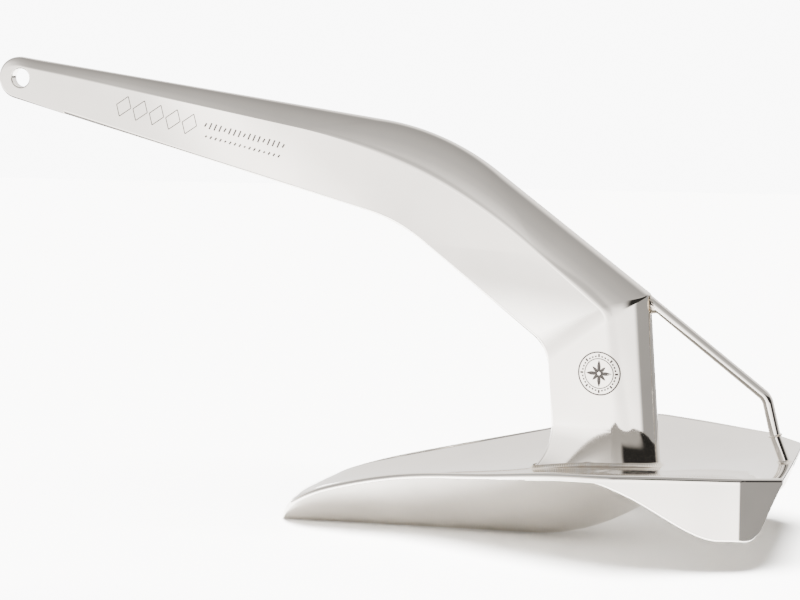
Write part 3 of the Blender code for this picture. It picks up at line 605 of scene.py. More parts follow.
def bent_line(start, corners, foot_x):
    """Straight legs joined by arcs; each leg and arc has its own number of points, so that points
    of the same number on the three lines lie across the shank from each other."""
    shank = bpy.context.scene.anchor_shank
    places = [np.array(start)] + [np.array(point) * MM for point, _ in corners]
    parts = []
    here = places[0]
    for i in (1, 2):
        radius = corners[i - 1][1] * MM
        into = places[i] - places[i - 1]
        into /= np.linalg.norm(into)
        away = places[i + 1] - places[i]
        away /= np.linalg.norm(away)
        turn = math.acos(float(np.clip(into @ away, -1.0, 1.0)))
        cut = radius * math.tan(turn / 2.0)
        t = np.linspace(0.0, 1.0, LEG_ROWS[i - 1], endpoint=False)[:, None]
        parts.append(here + (places[i] - into * cut - here) * t)
        inwards = (away - into) / np.linalg.norm(away - into)
        centre = places[i] + inwards * radius / math.cos(turn / 2.0)
        spoke = places[i] - into * cut - centre
        t = np.linspace(0.0, 1.0, BEND_ROWS[i - 1], endpoint=False)
        angle = math.atan2(spoke[1], spoke[0]) - turn * t
        parts.append(centre + radius * np.stack((np.cos(angle), np.sin(angle)), axis=1))
        here = places[i] + away * cut
    t = np.linspace(0.0, 1.0, LEG_ROWS[2], endpoint=False)[:, None]
    parts.append(here + (places[3] - here) * t)
    t = np.linspace(0.0, 1.0, BEND_ROWS[2])
    if foot_x is None:
        angle = shank.flare_turn * t
        swing = np.stack((np.cos(angle) - 1.0, -np.sin(angle)), axis=1)
        parts.append(places[3] + shank.flare_radius * swing)
    else:
        foot = np.array((foot_x, places[3][1] - shank.flare_radius * math.sin(shank.flare_turn)))
        parts.append(places[3] + (foot - places[3]) * t[:, None])
    return np.concatenate(parts)


def rounded_band(t):
    """Half thickness from the crease to the back: root of one less c t less (1 - c) t squared."""
    return np.sqrt(np.clip(1.0 - CREASE_TURN * t - (1.0 - CREASE_TURN) * t * t, 0.0, None))


class Shank:
    """The shank's three side-view lines with its half thickness along them."""

    def __init__(self):
        shank = bpy.context.scene.anchor_shank
        eye = bpy.context.scene.anchor_eye
        front_corner = np.array(FRONT_LINE[0][0]) * MM
        back_corner = np.array(BACK_LINE[0][0]) * MM
        front_start = line_at(head_touch(front_corner, -1.0), front_corner, eye.block_length)
        back_start = line_at(head_touch(back_corner, 1.0), back_corner, eye.block_length)
        crease_start = back_start + (front_start - back_start) * CREASE_SHARE
        self.front = bent_line(front_start, FRONT_LINE, None)
        self.crease = bent_line(crease_start, CREASE_LINE, CREASE_FOOT_X)
        self.back = bent_line(back_start, BACK_LINE, BACK_FOOT_X)
        run = run_of(self.crease)
        knee = run[LEG_ROWS[0] + BEND_ROWS[0] // 2]
        heel = run[LEG_ROWS[0] + BEND_ROWS[0] + LEG_ROWS[1] + BEND_ROWS[1] // 2]
        foot = shank.foot_thickness / 2.0
        table = [(0.0, EYE_HALF), (EYE_BLEND * knee, EYE_HALF), (knee, shank.knee_thickness / 2.0),
                 (heel, foot), (run[-1], foot)]
        self.half = table_curve(table, run)
        self.strip = EYE_HALF + (shank.strip_width / 2.0 - EYE_HALF) * ease(2.0 * run / knee)
        self.depth = np.linalg.norm(self.crease - self.front, axis=1)
        self.band = np.linalg.norm(self.back - self.crease, axis=1)
        places = (0.0, knee, heel, run[-1])
        self.soft = table_curve([(at, soft * MM) for at, soft in zip(places, CREASE_EASE)], run)
        self.count = len(run)

    def side_y(self, rows, reach):
        """Half thickness of the side plate, a straight taper from the strip to the crease."""
        return self.strip[rows] + (self.half[rows] - self.strip[rows]) * reach / self.depth[rows]

    def side(self, rows, reach):
        """A point of the side plate, at a distance from the front line towards the crease."""
        share = (reach / self.depth[rows])[..., None]
        place = self.front[rows] + (self.crease[rows] - self.front[rows]) * share
        return stack(place[..., 0], self.side_y(rows, reach), place[..., 1])

    def back_y(self, rows, t):
        """Half thickness times the rounded band. The crease is eased by x times (1 - x) squared,
        so the side's slope runs on into the band."""
        half = self.half[rows]
        base = half * rounded_band(t)
        side_slope = (half - self.strip[rows]) / self.depth[rows]
        band_slope = -0.5 * CREASE_TURN * half / self.band[rows]
        x = np.clip(t * self.band[rows] / self.soft[rows], 0.0, 1.0)
        return base + (side_slope - band_slope) * self.soft[rows] * x * (1.0 - x) ** 2

    def back_point(self, rows, t, y):
        place = self.crease[rows] + (self.back[rows] - self.crease[rows]) * t[..., None]
        return stack(place[..., 0], y, place[..., 1])

    def settle(self, points):
        """Stretch the flare's rows, column by column, so that the last one stands on the blade."""
        foot = points[-1]
        reach = foot[..., 2] - FOOT_TOP_Z
        wanted = blade_z(foot[..., 0], foot[..., 1]) - FOOT_TOP_Z
        below = np.minimum(points[..., 2] - FOOT_TOP_Z, 0.0)
        points[..., 2] = np.maximum(points[..., 2], FOOT_TOP_Z) + below * (wanted / reach)[None]
        return points

    def skin(self, row, reach):
        """The outside at any fractional row and distance from the front line, side or back."""
        low = np.clip(np.floor(row).astype(int), 0, self.count - 2)
        part = (row - low)[..., None]
        found = []
        for rows in (low, low + 1):
            beyond = np.clip((reach - self.depth[rows]) / self.band[rows], 0.0, 1.0)
            side = self.side(rows, np.minimum(reach, self.depth[rows]))
            back = self.back_point(rows, beyond, self.back_y(rows, beyond))
            found.append(np.where((reach > self.depth[rows])[..., None], back, side))
        return found[0] + (found[1] - found[0]) * part


# ---- materials ---------------------------------------------------------------------------------
def add_node(tree, kind, links=None, **settings):
    """Add a node, set its sockets or properties by name, and link its inputs."""
    node = tree.nodes.new("ShaderNode" + kind)
    for name, value in settings.items():
        socket = node.inputs.get(name.replace("_", " "))
        if socket is not None:
            socket.default_value = value
        else:
            setattr(node, name, value)
    for name, source in (links or {}).items():
        tree.links.new(source, node.inputs[name])
    return node


def new_material(name):
    material = bpy.data.materials.new(name)
    material.use_nodes = True
    tree = material.node_tree
    tree.nodes.clear()
    output = add_node(tree, "OutputMaterial")
    shader = add_node(tree, "BsdfPrincipled")
    tree.links.new(shader.outputs["BSDF"], output.inputs["Surface"])
    return material, tree, shader


def ramp(tree, source, stops):
    """Colour ramp through (place, linear grey or colour) stops."""
    node = add_node(tree, "ValToRGB", {"Fac": source})
    elements = node.color_ramp.elements
    for place, colour in stops[2:]:
        elements.new(place)
    for element, (place, colour) in zip(elements, stops):
        element.position = place
        element.color = colour
    return node


def toned(colour, factor):
    return (*[min(part * factor, 1.0) for part in colour[:3]], 1.0)


def polished_steel(name, colour, roughness, haze):
    """Mirror-polished austenitic stainless: plates ground, welded flush, then buffed with mops.

    The eye sees a near mirror with faint long buffing lines, cloudy patches of haze where the mop
    lingered, and reflections that waver a little, because formed plate is never quite fair."""
    material, tree, shader = new_material(name)
    place = add_node(tree, "TexCoord").outputs["Object"]
    cloud = add_node(tree, "TexNoise", {"Vector": place}, Scale=1.0 / (90.0 * MM), Detail=3.0,
                     Roughness=0.55)
    # Real buffing lines are under 0.1 mm apart. These are 2.5 mm apart, so that they show.
    lines_at = add_node(tree, "Mapping", {"Vector": place}, Scale=(1.0, 24.0, 24.0),
                        Rotation=(0.0, math.radians(14.0), 0.0))
    lines = add_node(tree, "TexNoise", {"Vector": lines_at.outputs["Vector"]},
                     Scale=1.0 / (60.0 * MM), Detail=5.0, Roughness=0.65)
    tint = ramp(tree, cloud.outputs["Fac"],
                [(0.3, toned(colour, 0.94)), (0.7, toned(colour, 1.03))])
    tree.links.new(tint.outputs["Color"], shader.inputs["Base Color"])
    mixed = add_node(tree, "Math", {0: cloud.outputs["Fac"], 1: lines.outputs["Fac"]},
                     operation="MULTIPLY")
    rough = add_node(tree, "MapRange", {"Value": mixed.outputs["Value"]}, From_Min=0.12,
                     From_Max=0.42, To_Min=roughness, To_Max=roughness + haze)
    tree.links.new(rough.outputs["Result"], shader.inputs["Roughness"])
    wave = add_node(tree, "TexNoise", {"Vector": place}, Scale=1.0 / (130.0 * MM), Detail=1.0)
    sway = add_node(tree, "Bump", {"Height": wave.outputs["Fac"]}, Strength=0.35, Distance=0.6 * MM)
    links = {"Height": lines.outputs["Fac"], "Normal": sway.outputs["Normal"]}
    fine = add_node(tree, "Bump", links, Strength=0.06, Distance=0.05 * MM)
    tree.links.new(fine.outputs["Normal"], shader.inputs["Normal"])
    shader.inputs["Metallic"].default_value = 1.0
    return material


def weld_steel(name, colour):
    """TIG weld metal, brushed and buffed, with a faint straw tint from the heat in patches.
    Its ripples are in the mesh. The grain is the wire brush's, drawn at 1.6 mm,
    which is coarser than the real 0.3 mm, so that it shows."""
    material, tree, shader = new_material(name)
    place = add_node(tree, "TexCoord").outputs["Object"]
    grain = add_node(tree, "TexNoise", {"Vector": place}, Scale=1.0 / (1.6 * MM), Detail=4.0,
                     Roughness=0.6)
    patch = add_node(tree, "TexNoise", {"Vector": place}, Scale=1.0 / (14.0 * MM), Detail=2.0)
    tint = ramp(tree, patch.outputs["Fac"], [(0.35, colour), (0.75, linear("#CFC3B2"))])
    tree.links.new(tint.outputs["Color"], shader.inputs["Base Color"])
    rough = add_node(tree, "MapRange", {"Value": grain.outputs["Fac"]}, From_Min=0.3,
                     From_Max=0.7, To_Min=0.10, To_Max=0.20)
    tree.links.new(rough.outputs["Result"], shader.inputs["Roughness"])
    bump = add_node(tree, "Bump", {"Height": grain.outputs["Fac"]}, Strength=0.12,
                    Distance=0.05 * MM)
    tree.links.new(bump.outputs["Normal"], shader.inputs["Normal"])
    shader.inputs["Metallic"].default_value = 1.0
    return material


def etched_oxide(name, colour):
    """Laser-etched stainless: a thin dark oxide that scatters light, so the mark looks matt
    and even beside the mirror round it."""
    material, tree, shader = new_material(name)
    place = add_node(tree, "TexCoord").outputs["Object"]
    grain = add_node(tree, "TexNoise", {"Vector": place}, Scale=1.0 / (0.8 * MM), Detail=2.0)
    tint = ramp(tree, grain.outputs["Fac"],
                [(0.35, toned(colour, 0.8)), (0.65, toned(colour, 1.25))])
    tree.links.new(tint.outputs["Color"], shader.inputs["Base Color"])
    shader.inputs["Metallic"].default_value = 0.3
    shader.inputs["Roughness"].default_value = 0.55
    return material


def cast_lead(name, colour):
    """Cast lead: soft grey, dull, with a pale bloom of oxide and the dimples of a sand mould."""
    material, tree, shader = new_material(name)
    place = add_node(tree, "TexCoord").outputs["Object"]
    bloom = add_node(tree, "TexNoise", {"Vector": place}, Scale=1.0 / (22.0 * MM), Detail=5.0)
    dimple = add_node(tree, "TexNoise", {"Vector": place}, Scale=1.0 / (2.5 * MM), Detail=3.0)
    tint = ramp(tree, bloom.outputs["Fac"], [(0.35, colour), (0.68, linear("#9A9C9E"))])
    tree.links.new(tint.outputs["Color"], shader.inputs["Base Color"])
    bump = add_node(tree, "Bump", {"Height": dimple.outputs["Fac"]}, Strength=0.6,
                    Distance=0.3 * MM)
    tree.links.new(bump.outputs["Normal"], shader.inputs["Normal"])
    shader.inputs["Metallic"].default_value = 0.8
    shader.inputs["Roughness"].default_value = 0.62
    return material


def finishes():
    """The four materials, made once."""
    colours = bpy.context.scene.anchor_colours
    made = bpy.data.materials
    if "mirror_polished_stainless" not in made:
        polished_steel("mirror_polished_stainless", tuple(colours.steel), 0.035, 0.05)
        weld_steel("buffed_weld_metal", tuple(colours.weld))
        etched_oxide("laser_etched_oxide", tuple(colours.etched))
        cast_lead("cast_lead", tuple(colours.lead))
    return made


# ---- the fluke's pieces ------------------------------------------------------------------------
def beak_share():
    sizes = fluke_sizes()
    return sizes.beak_length / sizes.length


class ANCHOR_OT_beak(Operator):
    """Solid nose: keel sides, rounded edges and hollow top in one closed skin"""
    bl_idname = "anchor.beak"
    bl_label = "Beak"

    def execute(self, context):
        share = beak_share() * np.linspace(0.0, 1.0, 70) ** 1.4
        across = np.linspace(0.0, 1.0, 30)[None, :-1]
        keel = keel_surface(share[:, None] + 0.0 * across, across + 0.0 * share[:, None])
        rim = rim_line(share)[:, ::-1]
        inner = rim[:, -1:, 1] * np.linspace(1.0, 0.0, 30)[None, 1:]
        x = fluke_x(share)[:, None]
        top = stack(x, inner, blade_z(x, inner))
        right = np.concatenate((keel, rim, top), axis=1)
        rings = np.concatenate((right, mirrored(right[:, ::-1])), axis=1)
        add_piece("nose_beak", [rings_solid(rings)], POLISHED, ["fluke_beak"])
        return {"FINISHED"}


class ANCHOR_OT_deck(Operator):
    """Concave blade between the rims, with its rear edge eased"""
    bl_idname = "anchor.deck"
    bl_label = "Blade"

    def execute(self, context):
        start = beak_share()
        sizes = fluke_sizes()

        def face(height):
            def surface(u, v):
                share = start + (1.0 - start) * u
                edge = half_width(share) - sizes.rim_width
                y = edge * (2.0 * v - 1.0)
                return stack(fluke_x(share), y, height(fluke_x(share), y))
            return surface

        us = (bunched(start, 1.0, 240) - start) / (1.0 - start)
        rings = plate_rings(face(blade_z), face(blade_under_z), us, np.linspace(0.0, 1.0, 120),
                            radius=1.4 * MM, round_u=(False, True))
        add_piece("concave_blade", [rings_solid(rings)], POLISHED, ["fluke_blade"])
        return {"FINISHED"}


class ANCHOR_OT_rims(Operator):
    """Ground weld along each edge, a rounded rim that stands a little proud of the blade"""
    bl_idname = "anchor.rims"
    bl_label = "Rims"

    def execute(self, context):
        sizes = fluke_sizes()
        share = bunched(beak_share(), 1.0, 420)
        ease_off = 1.2 * MM
        tail = 1.0 - ease_off * (1.0 - np.sin(EDGE_TURN[::-1])) / sizes.length
        share = np.concatenate((share[share < tail[0] - 1e-5], tail))
        line = rim_line(share)
        base_y = line[:, :1, 1]
        base_z = line[:, -1:, 2]
        back = np.linspace(0.0, 1.0, 4)[None, 1:]
        low = stack(line[:, -1:, 0], line[:, -1:, 1] + (base_y - line[:, -1:, 1]) * back, base_z)
        up = stack(line[:, -1:, 0], base_y, base_z + (line[:, :1, 2] - base_z) * np.array([[0.5]]))
        rings = np.concatenate((line, low, up), axis=1)
        middle = rings.mean(axis=1, keepdims=True)
        shrink = np.ones(len(share))
        sunk = ease_off * (1.0 - np.cos(EDGE_TURN[::-1]))
        shrink[-len(tail):] = 1.0 - sunk / (0.5 * sizes.rim_width)
        rings = middle + (rings - middle) * shrink[:, None, None]
        if rings.shape[1] % 2:
            rings = np.concatenate((rings, rings[:, -1:]), axis=1)
        add_pair("edge_rim", rings, "crest_weld", sharp_angle=50.0)
        return {"FINISHED"}


class ANCHOR_OT_keel(Operator):
    """Keel plates that close the ballast chamber in a hollow V"""
    bl_idname = "anchor.keel"
    bl_label = "Keel plates"

    def execute(self, context):
        start = beak_share()
        end = WING_START + STERN_PLATE_AT * (KEEL_END - WING_START)
        us = np.linspace(0.0, 1.0, 260)
        vs = np.linspace(0.0, 1.0, 60)
        rings = plate_rings(lambda u, v: keel_surface(start + (end - start) * u, v),
                            lambda u, v: keel_inside(start + (end - start) * u, v), us, vs)
        add_pair("keel_skin", rings, "keel_plate")
        for node, finish in (("lead_ballast", "cast_lead"), ("chamber_stern_plate", POLISHED[0])):
            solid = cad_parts[node]
            solid.data.materials.clear()
            solid.data.materials.append(finishes()[finish])
        return {"FINISHED"}


class ANCHOR_OT_wings(Operator):
    """Down-turned wings with their pressed bend and rounded lower edge"""
    bl_idname = "anchor.wings"
    bl_label = "Wings"

    def execute(self, context):
        us = (bunched(WING_START, 1.0, 260) - WING_START) / (1.0 - WING_START)
        rings = plate_rings(wing_surface(False), wing_surface(True), us, np.linspace(0.0, 1.0, 60),
                            radius=2.2 * MM, round_u=(False, True), round_v=(False, True))
        add_pair("down_turned_wing", rings, "wing")
        return {"FINISHED"}


# ---- the shank's pieces ------------------------------------------------------------------------
class ANCHOR_OT_shank_sides(Operator):
    """Side plates of the hollow shank, a straight taper from the front strip to the crease"""
    bl_idname = "anchor.shank_sides"
    bl_label = "Shank sides"

    def execute(self, context):
        shank = Shank()
        wall = context.scene.anchor_shank.wall
        strip = context.scene.anchor_shank.strip_depth
        rows = np.arange(shank.count)[:, None]
        t = np.linspace(0.0, 1.0, 40)[None, :]
        reach = strip + (shank.depth[rows] - strip) * t
        rows = np.broadcast_to(rows, reach.shape)
        outer = shank.settle(shank.side(rows, reach))
        slant = np.hypot(1.0, (shank.half - shank.strip) / shank.depth)[:, None]
        inner = outer - stack(0.0, wall * slant, 0.0)
        rings = np.concatenate((outer, inner[:, ::-1]), axis=1)
        add_pair("shank_cheek", rings, "shank_side")
        return {"FINISHED"}


class ANCHOR_OT_shank_back(Operator):
    """Rounded back of the shank, folded over between the two creases"""
    bl_idname = "anchor.shank_back"
    bl_label = "Shank back"

    def execute(self, context):
        shank = Shank()
        wall = context.scene.anchor_shank.wall
        rows = np.arange(shank.count)[:, None]
        t = 1.0 - np.linspace(1.0, 0.0, 44)[None, :] ** BACK_BUNCH
        rows = np.broadcast_to(rows, (shank.count, t.shape[1]))
        t = np.broadcast_to(t, rows.shape)
        inner_t = t * (1.0 - wall / shank.band[rows])
        outer = shank.back_point(rows, t, shank.back_y(rows, t))
        inner_y = shank.back_y(rows, t) * (1.0 - wall / shank.half[rows])
        inner = shank.back_point(rows, inner_t, inner_y)
        outer, inner = [shank.settle(np.concatenate((half, mirrored(half[:, -2::-1])), axis=1))
                        for half in (outer, inner)]
        rings = np.concatenate((outer, inner[:, ::-1]), axis=1)
        add_piece("shank_rounded_back", [rings_solid(rings)], POLISHED, ["shank_back_cover"])
        return {"FINISHED"}


def strip_half(shank):
    """Right half of the front strip's section: flat front, quarter-round corner, tapering side."""
    sizes = bpy.context.scene.anchor_shank
    radius = sizes.strip_round
    rows = np.arange(shank.count)[:, None]
    corner_y = shank.side_y(rows, radius) - radius
    a = math.pi / 2.0 - EDGE_TURN[None, :]
    flat = 0.0 * corner_y
    depth = np.concatenate((flat, flat, radius * (1.0 - np.cos(a)) + flat,
                            sizes.strip_depth + flat), axis=1)
    y = np.concatenate((flat, 0.5 * corner_y, corner_y + radius * np.sin(a),
                        shank.side_y(rows, sizes.strip_depth)), axis=1)
    share = (depth / shank.depth[rows])[..., None]
    place = shank.front[:, None, :] + (shank.crease - shank.front)[:, None, :] * share
    return stack(place[..., 0], y, place[..., 1])


class ANCHOR_OT_shank_front(Operator):
    """Narrow strip along the shank's front edge, with rounded corners and the flared toe"""
    bl_idname = "anchor.shank_front"
    bl_label = "Shank front"

    def execute(self, context):
        shank = Shank()
        right = strip_half(shank)
        middle = right[:, -1:] * np.array((1.0, 0.0, 1.0))
        rings = np.concatenate((right, middle, middle, mirrored(right[:, ::-1])), axis=1)
        rings = shank.settle(rings)
        add_piece("shank_front_edge", [rings_solid(rings)], POLISHED, ["shank_front_strip"])
        return {"FINISHED"}


class ANCHOR_OT_eye(Operator):
    """Solid end of the shank with its round head, bored and countersunk for the shackle"""
    bl_idname = "anchor.eye"
    bl_label = "Shackle eye"

    def execute(self, context):
        sizes = context.scene.anchor_eye
        front_corner = np.array(FRONT_LINE[0][0]) * MM
        back_corner = np.array(BACK_LINE[0][0]) * MM
        low_touch = head_touch(front_corner, -1.0)
        high_touch = head_touch(back_corner, 1.0)

        def edge_z(x, touch, corner, side):
            """Outline above or below: the head's circle up to its touch point, then the line."""
            away = np.clip(sizes.radius ** 2 - (x - sizes.head_shift) ** 2, 0.0, None)
            line = touch[1] + (corner[1] - touch[1]) * (x - touch[0]) / (corner[0] - touch[0])
            return np.where(x < touch[0], side * np.sqrt(away), line)

        # Distance from the bore's centre to the outline along rays: the head's circle, then the
        # nearest of the two edge lines and the square end, with rays through both end corners.
        lines = ((low_touch, front_corner, -1.0), (high_touch, back_corner, 1.0))
        corners = [math.atan2(float(edge_z(sizes.block_length, *line)), sizes.block_length)
                   for line in lines]
        angle = np.unique(np.concatenate((np.linspace(-math.pi, math.pi, 361)[:-1], corners)))
        ray = np.stack((np.cos(angle), np.sin(angle)), axis=1)
        along = sizes.head_shift * ray[:, 0]
        circle = along + np.sqrt(along ** 2 + sizes.radius ** 2 - sizes.head_shift ** 2)
        straight = [sizes.block_length / np.maximum(ray[:, 0], 1e-3)]
        for touch, corner, _ in lines:
            way = corner - touch
            side = math.copysign(1.0, touch[1])
            normal = np.array((-way[1], way[0])) * side / np.linalg.norm(way)
            straight.append((touch @ normal) / np.maximum(ray @ normal, 1e-3))
        end = straight[0]
        straight = np.min(straight, axis=0)
        on_head = circle * ray[:, 0] < np.where(ray[:, 1] > 0.0, high_touch[0], low_touch[0])
        reach = np.where(on_head, circle, straight)
        on_end = ~on_head & (end <= straight + 1e-9)

        bore = sizes.bore / 2.0
        lip = bore + sizes.chamfer
        outward = 1.0 - (1.0 - np.linspace(0.0, 1.0, 46)) ** 1.8      # rings bunched at the edge
        radial = lip + (reach[:, None] - lip) * outward[None, :]
        x = radial * ray[:, :1]
        z = radial * ray[:, 1:]
        top = edge_z(x, high_touch, back_corner, 1.0)
        bottom = edge_z(x, low_touch, front_corner, -1.0)
        chord = np.maximum(top - bottom, 1.0 * MM)
        t = np.clip((z - (top - CREASE_SHARE * chord)) / (CREASE_SHARE * chord), 0.0, 1.0)
        grow = ease((x - sizes.head_shift + sizes.radius) / (2.0 * sizes.radius))
        height = EYE_HALF * (1.0 - grow * (1.0 - rounded_band(t)))
        crease_ease = CREASE_EASE[0] * MM
        soft = np.clip(t * CREASE_SHARE * chord / crease_ease, 0.0, 1.0)
        band_slope = 0.5 * CREASE_TURN * EYE_HALF / (CREASE_SHARE * chord)
        height = height + grow * band_slope * crease_ease * soft * (1.0 - soft) ** 2
        upper = np.where(ray[:, 1:] > 0.0, grow, 0.0)
        edge = np.where(on_end[:, None], 1e-6, sizes.edge_round * (1.0 - upper))
        gap = np.clip(edge - (reach[:, None] - radial), 0.0, None)
        height = height - (edge - np.sqrt(np.clip(edge ** 2 - gap ** 2, 0.0, None)))
        height = np.maximum(height, 0.0)

        face = stack(x, height, z)
        wall = stack(x[:, -1:], height[:, -1:] * np.array([[0.66, 0.33, 0.0]]), z[:, -1:])
        b = np.linspace(0.0, math.pi / 2.0, 8)[None, :-1]
        lip_r = lip - sizes.chamfer * np.cos(b)
        lip_y = EYE_HALF - sizes.chamfer * (1.0 - np.sin(b))
        chamfer = stack(lip_r * ray[:, :1], lip_y, lip_r * ray[:, 1:])
        half_wall = (EYE_HALF - sizes.chamfer) * np.linspace(0.0, 1.0, 4)[None, 1:-1]
        tube = stack(bore * ray[:, :1], half_wall, bore * ray[:, 1:])
        right = np.concatenate((tube, chamfer, face, wall), axis=1)
        rings = np.concatenate((right, mirrored(right[:, -2::-1])), axis=1)
        add_piece("shackle_eye_block", [looped_solid(rings)], POLISHED, ["shank_eye_block"],
                  sharp_angle=34.0)
        return {"FINISHED"}


# ---- welds and bar -----------------------------------------------------------------------------
def ripple(run, closed_length):
    """Scalloped ripples along a bead: the size of a sine, a whole number of times round."""
    weld = bpy.context.scene.anchor_weld
    count = max(round(closed_length / weld.ripple_pitch), 8)
    return weld.ripple_height * np.abs(np.sin(math.pi * count * run / closed_length))


def hollow_fillet(q):
    """Run of a fillet from wall to plate: half way between a flat one and a quarter wave."""
    return 0.5 * (1.0 - np.cos(q * math.pi / 2.0)) + 0.5 * q


class ANCHOR_OT_foot_weld(Operator):
    """Rippled fillet laid round the shank's foot on the blade"""
    bl_idname = "anchor.foot_weld"
    bl_label = "Foot weld"

    def execute(self, context):
        weld = context.scene.anchor_weld
        shank = Shank()
        last = shank.count - 1
        strip = strip_half(shank)[last][:, :2]
        reach = np.linspace(context.scene.anchor_shank.strip_depth, shank.depth[last], 30)[1:]
        rows = np.full(len(reach), last)
        side = shank.side(rows, reach)[:, :2]
        t = 1.0 - np.linspace(1.0, 0.0, 40)[1:] ** BACK_BUNCH
        rows = np.full(len(t), last)
        back = shank.back_point(rows, t, shank.back_y(rows, t))[:, :2]
        right = np.concatenate((strip, side, back))
        loop = np.concatenate((right, (right * np.array((1.0, -1.0)))[-2:0:-1], right[:1]))
        run = run_of(loop)
        even = np.linspace(0.0, run[-1], 641)[:-1]
        loop = np.stack([np.interp(even, run, loop[:, k]) for k in (0, 1)], axis=1)
        along = np.roll(loop, -2, axis=0) - np.roll(loop, 2, axis=0)
        outward = np.stack((-along[:, 1], along[:, 0]), axis=1)
        outward /= np.linalg.norm(outward, axis=1)[:, None]
        outward *= np.sign(np.sum(outward * (loop - loop.mean(axis=0)), axis=1).mean())

        # Section: from the wall down to the blade, closed below the metal's surface.
        q = np.linspace(0.0, 1.0, 13)
        hollow = hollow_fillet(q)
        lift = ripple(even, run[-1])[:, None] * np.sin(q * math.pi)[None, :]
        column = np.ones((len(even), 1))
        out = np.concatenate((-WALL_SINK * column, weld.leg * hollow[None, :] + lift - 0.2 * MM,
                              0.5 * weld.leg * column, -WALL_SINK * column), axis=1)
        up = np.concatenate((weld.leg * column, weld.leg * hollow[None, ::-1] + lift,
                             -WELD_SINK * column, -WELD_SINK * column), axis=1)
        x = loop[:, :1] + outward[:, :1] * out
        y = loop[:, 1:] + outward[:, 1:] * out
        rings = stack(x, y, blade_z(x, y) + up)
        add_piece("foot_weld_bead", [looped_solid(rings)], WELDED, ["shank_foot_weld"],
                  sharp_angle=60.0)
        return {"FINISHED"}


class Bar:
    """The trip bar's middle line and the places along it."""

    def __init__(self):
        sizes = bpy.context.scene.anchor_bar
        self.radius = sizes.diameter / 2.0
        self.foot_x = REAR_X - sizes.setback
        self.foot = np.array((self.foot_x, float(blade_z(self.foot_x, 0.0)) + 0.5 * MM))
        self.ring = self.foot + np.array(RING_FROM_FOOT) * MM
        self.bend = self.foot + np.array(BEND_FROM_FOOT) * MM
        self.start = np.array((sizes.start_x, sizes.start_z))
        self.into = (self.bend - self.start) / np.linalg.norm(self.bend - self.start)
        self.away = (self.ring - self.bend) / np.linalg.norm(self.ring - self.bend)
        self.down = (self.foot - self.ring) / np.linalg.norm(self.foot - self.ring)

    def circles(self, places, directions, radii, steps):
        """Rings of points square to directions in the XZ plane, with a radius for each point."""
        a = np.linspace(0.0, 2.0 * math.pi, steps, endpoint=False)[None, :]
        out = np.sin(a) * radii
        x = places[:, :1] + out * directions[:, 1:]
        z = places[:, 1:] - out * directions[:, :1]
        return stack(x, np.cos(a) * radii, z)

    def to_shank(self, points, sink):
        """Slide points along the bar until they lie on the shank's rear face, sunk a little."""
        high = np.array(BACK_LINE[1][0]) * MM
        low = np.array(BACK_LINE[2][0]) * MM
        lean = (low[0] - high[0]) / (high[1] - low[1])
        face_x = high[0] + lean * (high[1] - points[..., 2]) - sink
        travel = (face_x - points[..., 0]) / (self.into[0] + lean * self.into[1])
        return points + travel[..., None] * np.array((self.into[0], 0.0, self.into[1]))


class ANCHOR_OT_trip_bar(Operator):
    """Round bar from the shank's heel over its bend to the weld ring, and its foot on the blade"""
    bl_idname = "anchor.trip_bar"
    bl_label = "Trip bar"

    def execute(self, context):
        bar = Bar()
        sizes = context.scene.anchor_bar
        steps = context.scene.anchor_studio.bar_sides
        turn = math.acos(float(bar.into @ bar.away))
        cut = sizes.bend_radius * math.tan(turn / 2.0)
        inwards = (bar.away - bar.into) / np.linalg.norm(bar.away - bar.into)
        centre = bar.bend + inwards * sizes.bend_radius / math.cos(turn / 2.0)
        spoke = bar.bend - bar.into * cut - centre
        first = math.atan2(spoke[1], spoke[0])
        angle = first - turn * np.linspace(0.0, 1.0, 28)
        arc = centre + sizes.bend_radius * np.stack((np.cos(angle), np.sin(angle)), axis=1)
        arc_way = np.stack((np.sin(angle), -np.cos(angle)), axis=1)
        leg = bar.start + (arc[0] - bar.start) * np.linspace(0.0, 1.0, 30)[:-1, None]
        tail = arc[-1] + (bar.ring - arc[-1]) * np.linspace(0.0, 1.0, 16)[1:, None]
        places = np.concatenate((leg, arc, tail))
        ways = np.concatenate((np.tile(bar.into, (len(leg), 1)), arc_way,
                               np.tile(bar.away, (len(tail), 1))))
        rings = bar.circles(places, ways, bar.radius, steps)
        rings[0] = bar.to_shank(rings[0], 0.3 * MM)
        add_piece("trip_bar_rod", [rings_solid(rings)], POLISHED, ["trip_bar"])

        # The short foot below the ring stands on the blade: its last ring drops to the surface.
        places = bar.ring + (bar.foot - bar.ring) * np.linspace(0.0, 1.0, 14)[:, None]
        rings = bar.circles(places, np.tile(bar.down, (len(places), 1)), bar.radius, steps)
        last = rings[-1]
        down = np.array((bar.down[0], 0.0, bar.down[1]))
        for _ in range(3):
            low = blade_z(np.minimum(last[:, 0], REAR_X), last[:, 1]) - 0.3 * MM
            last = last + ((low - last[:, 2]) / bar.down[1])[:, None] * down
        share = np.linspace(0.0, 1.0, 14)[:, None, None]
        rings = rings[:1] + (last[None] - rings[:1]) * share
        add_piece("trip_bar_stub", [rings_solid(rings)], POLISHED, ["trip_bar_foot"])
        return {"FINISHED"}


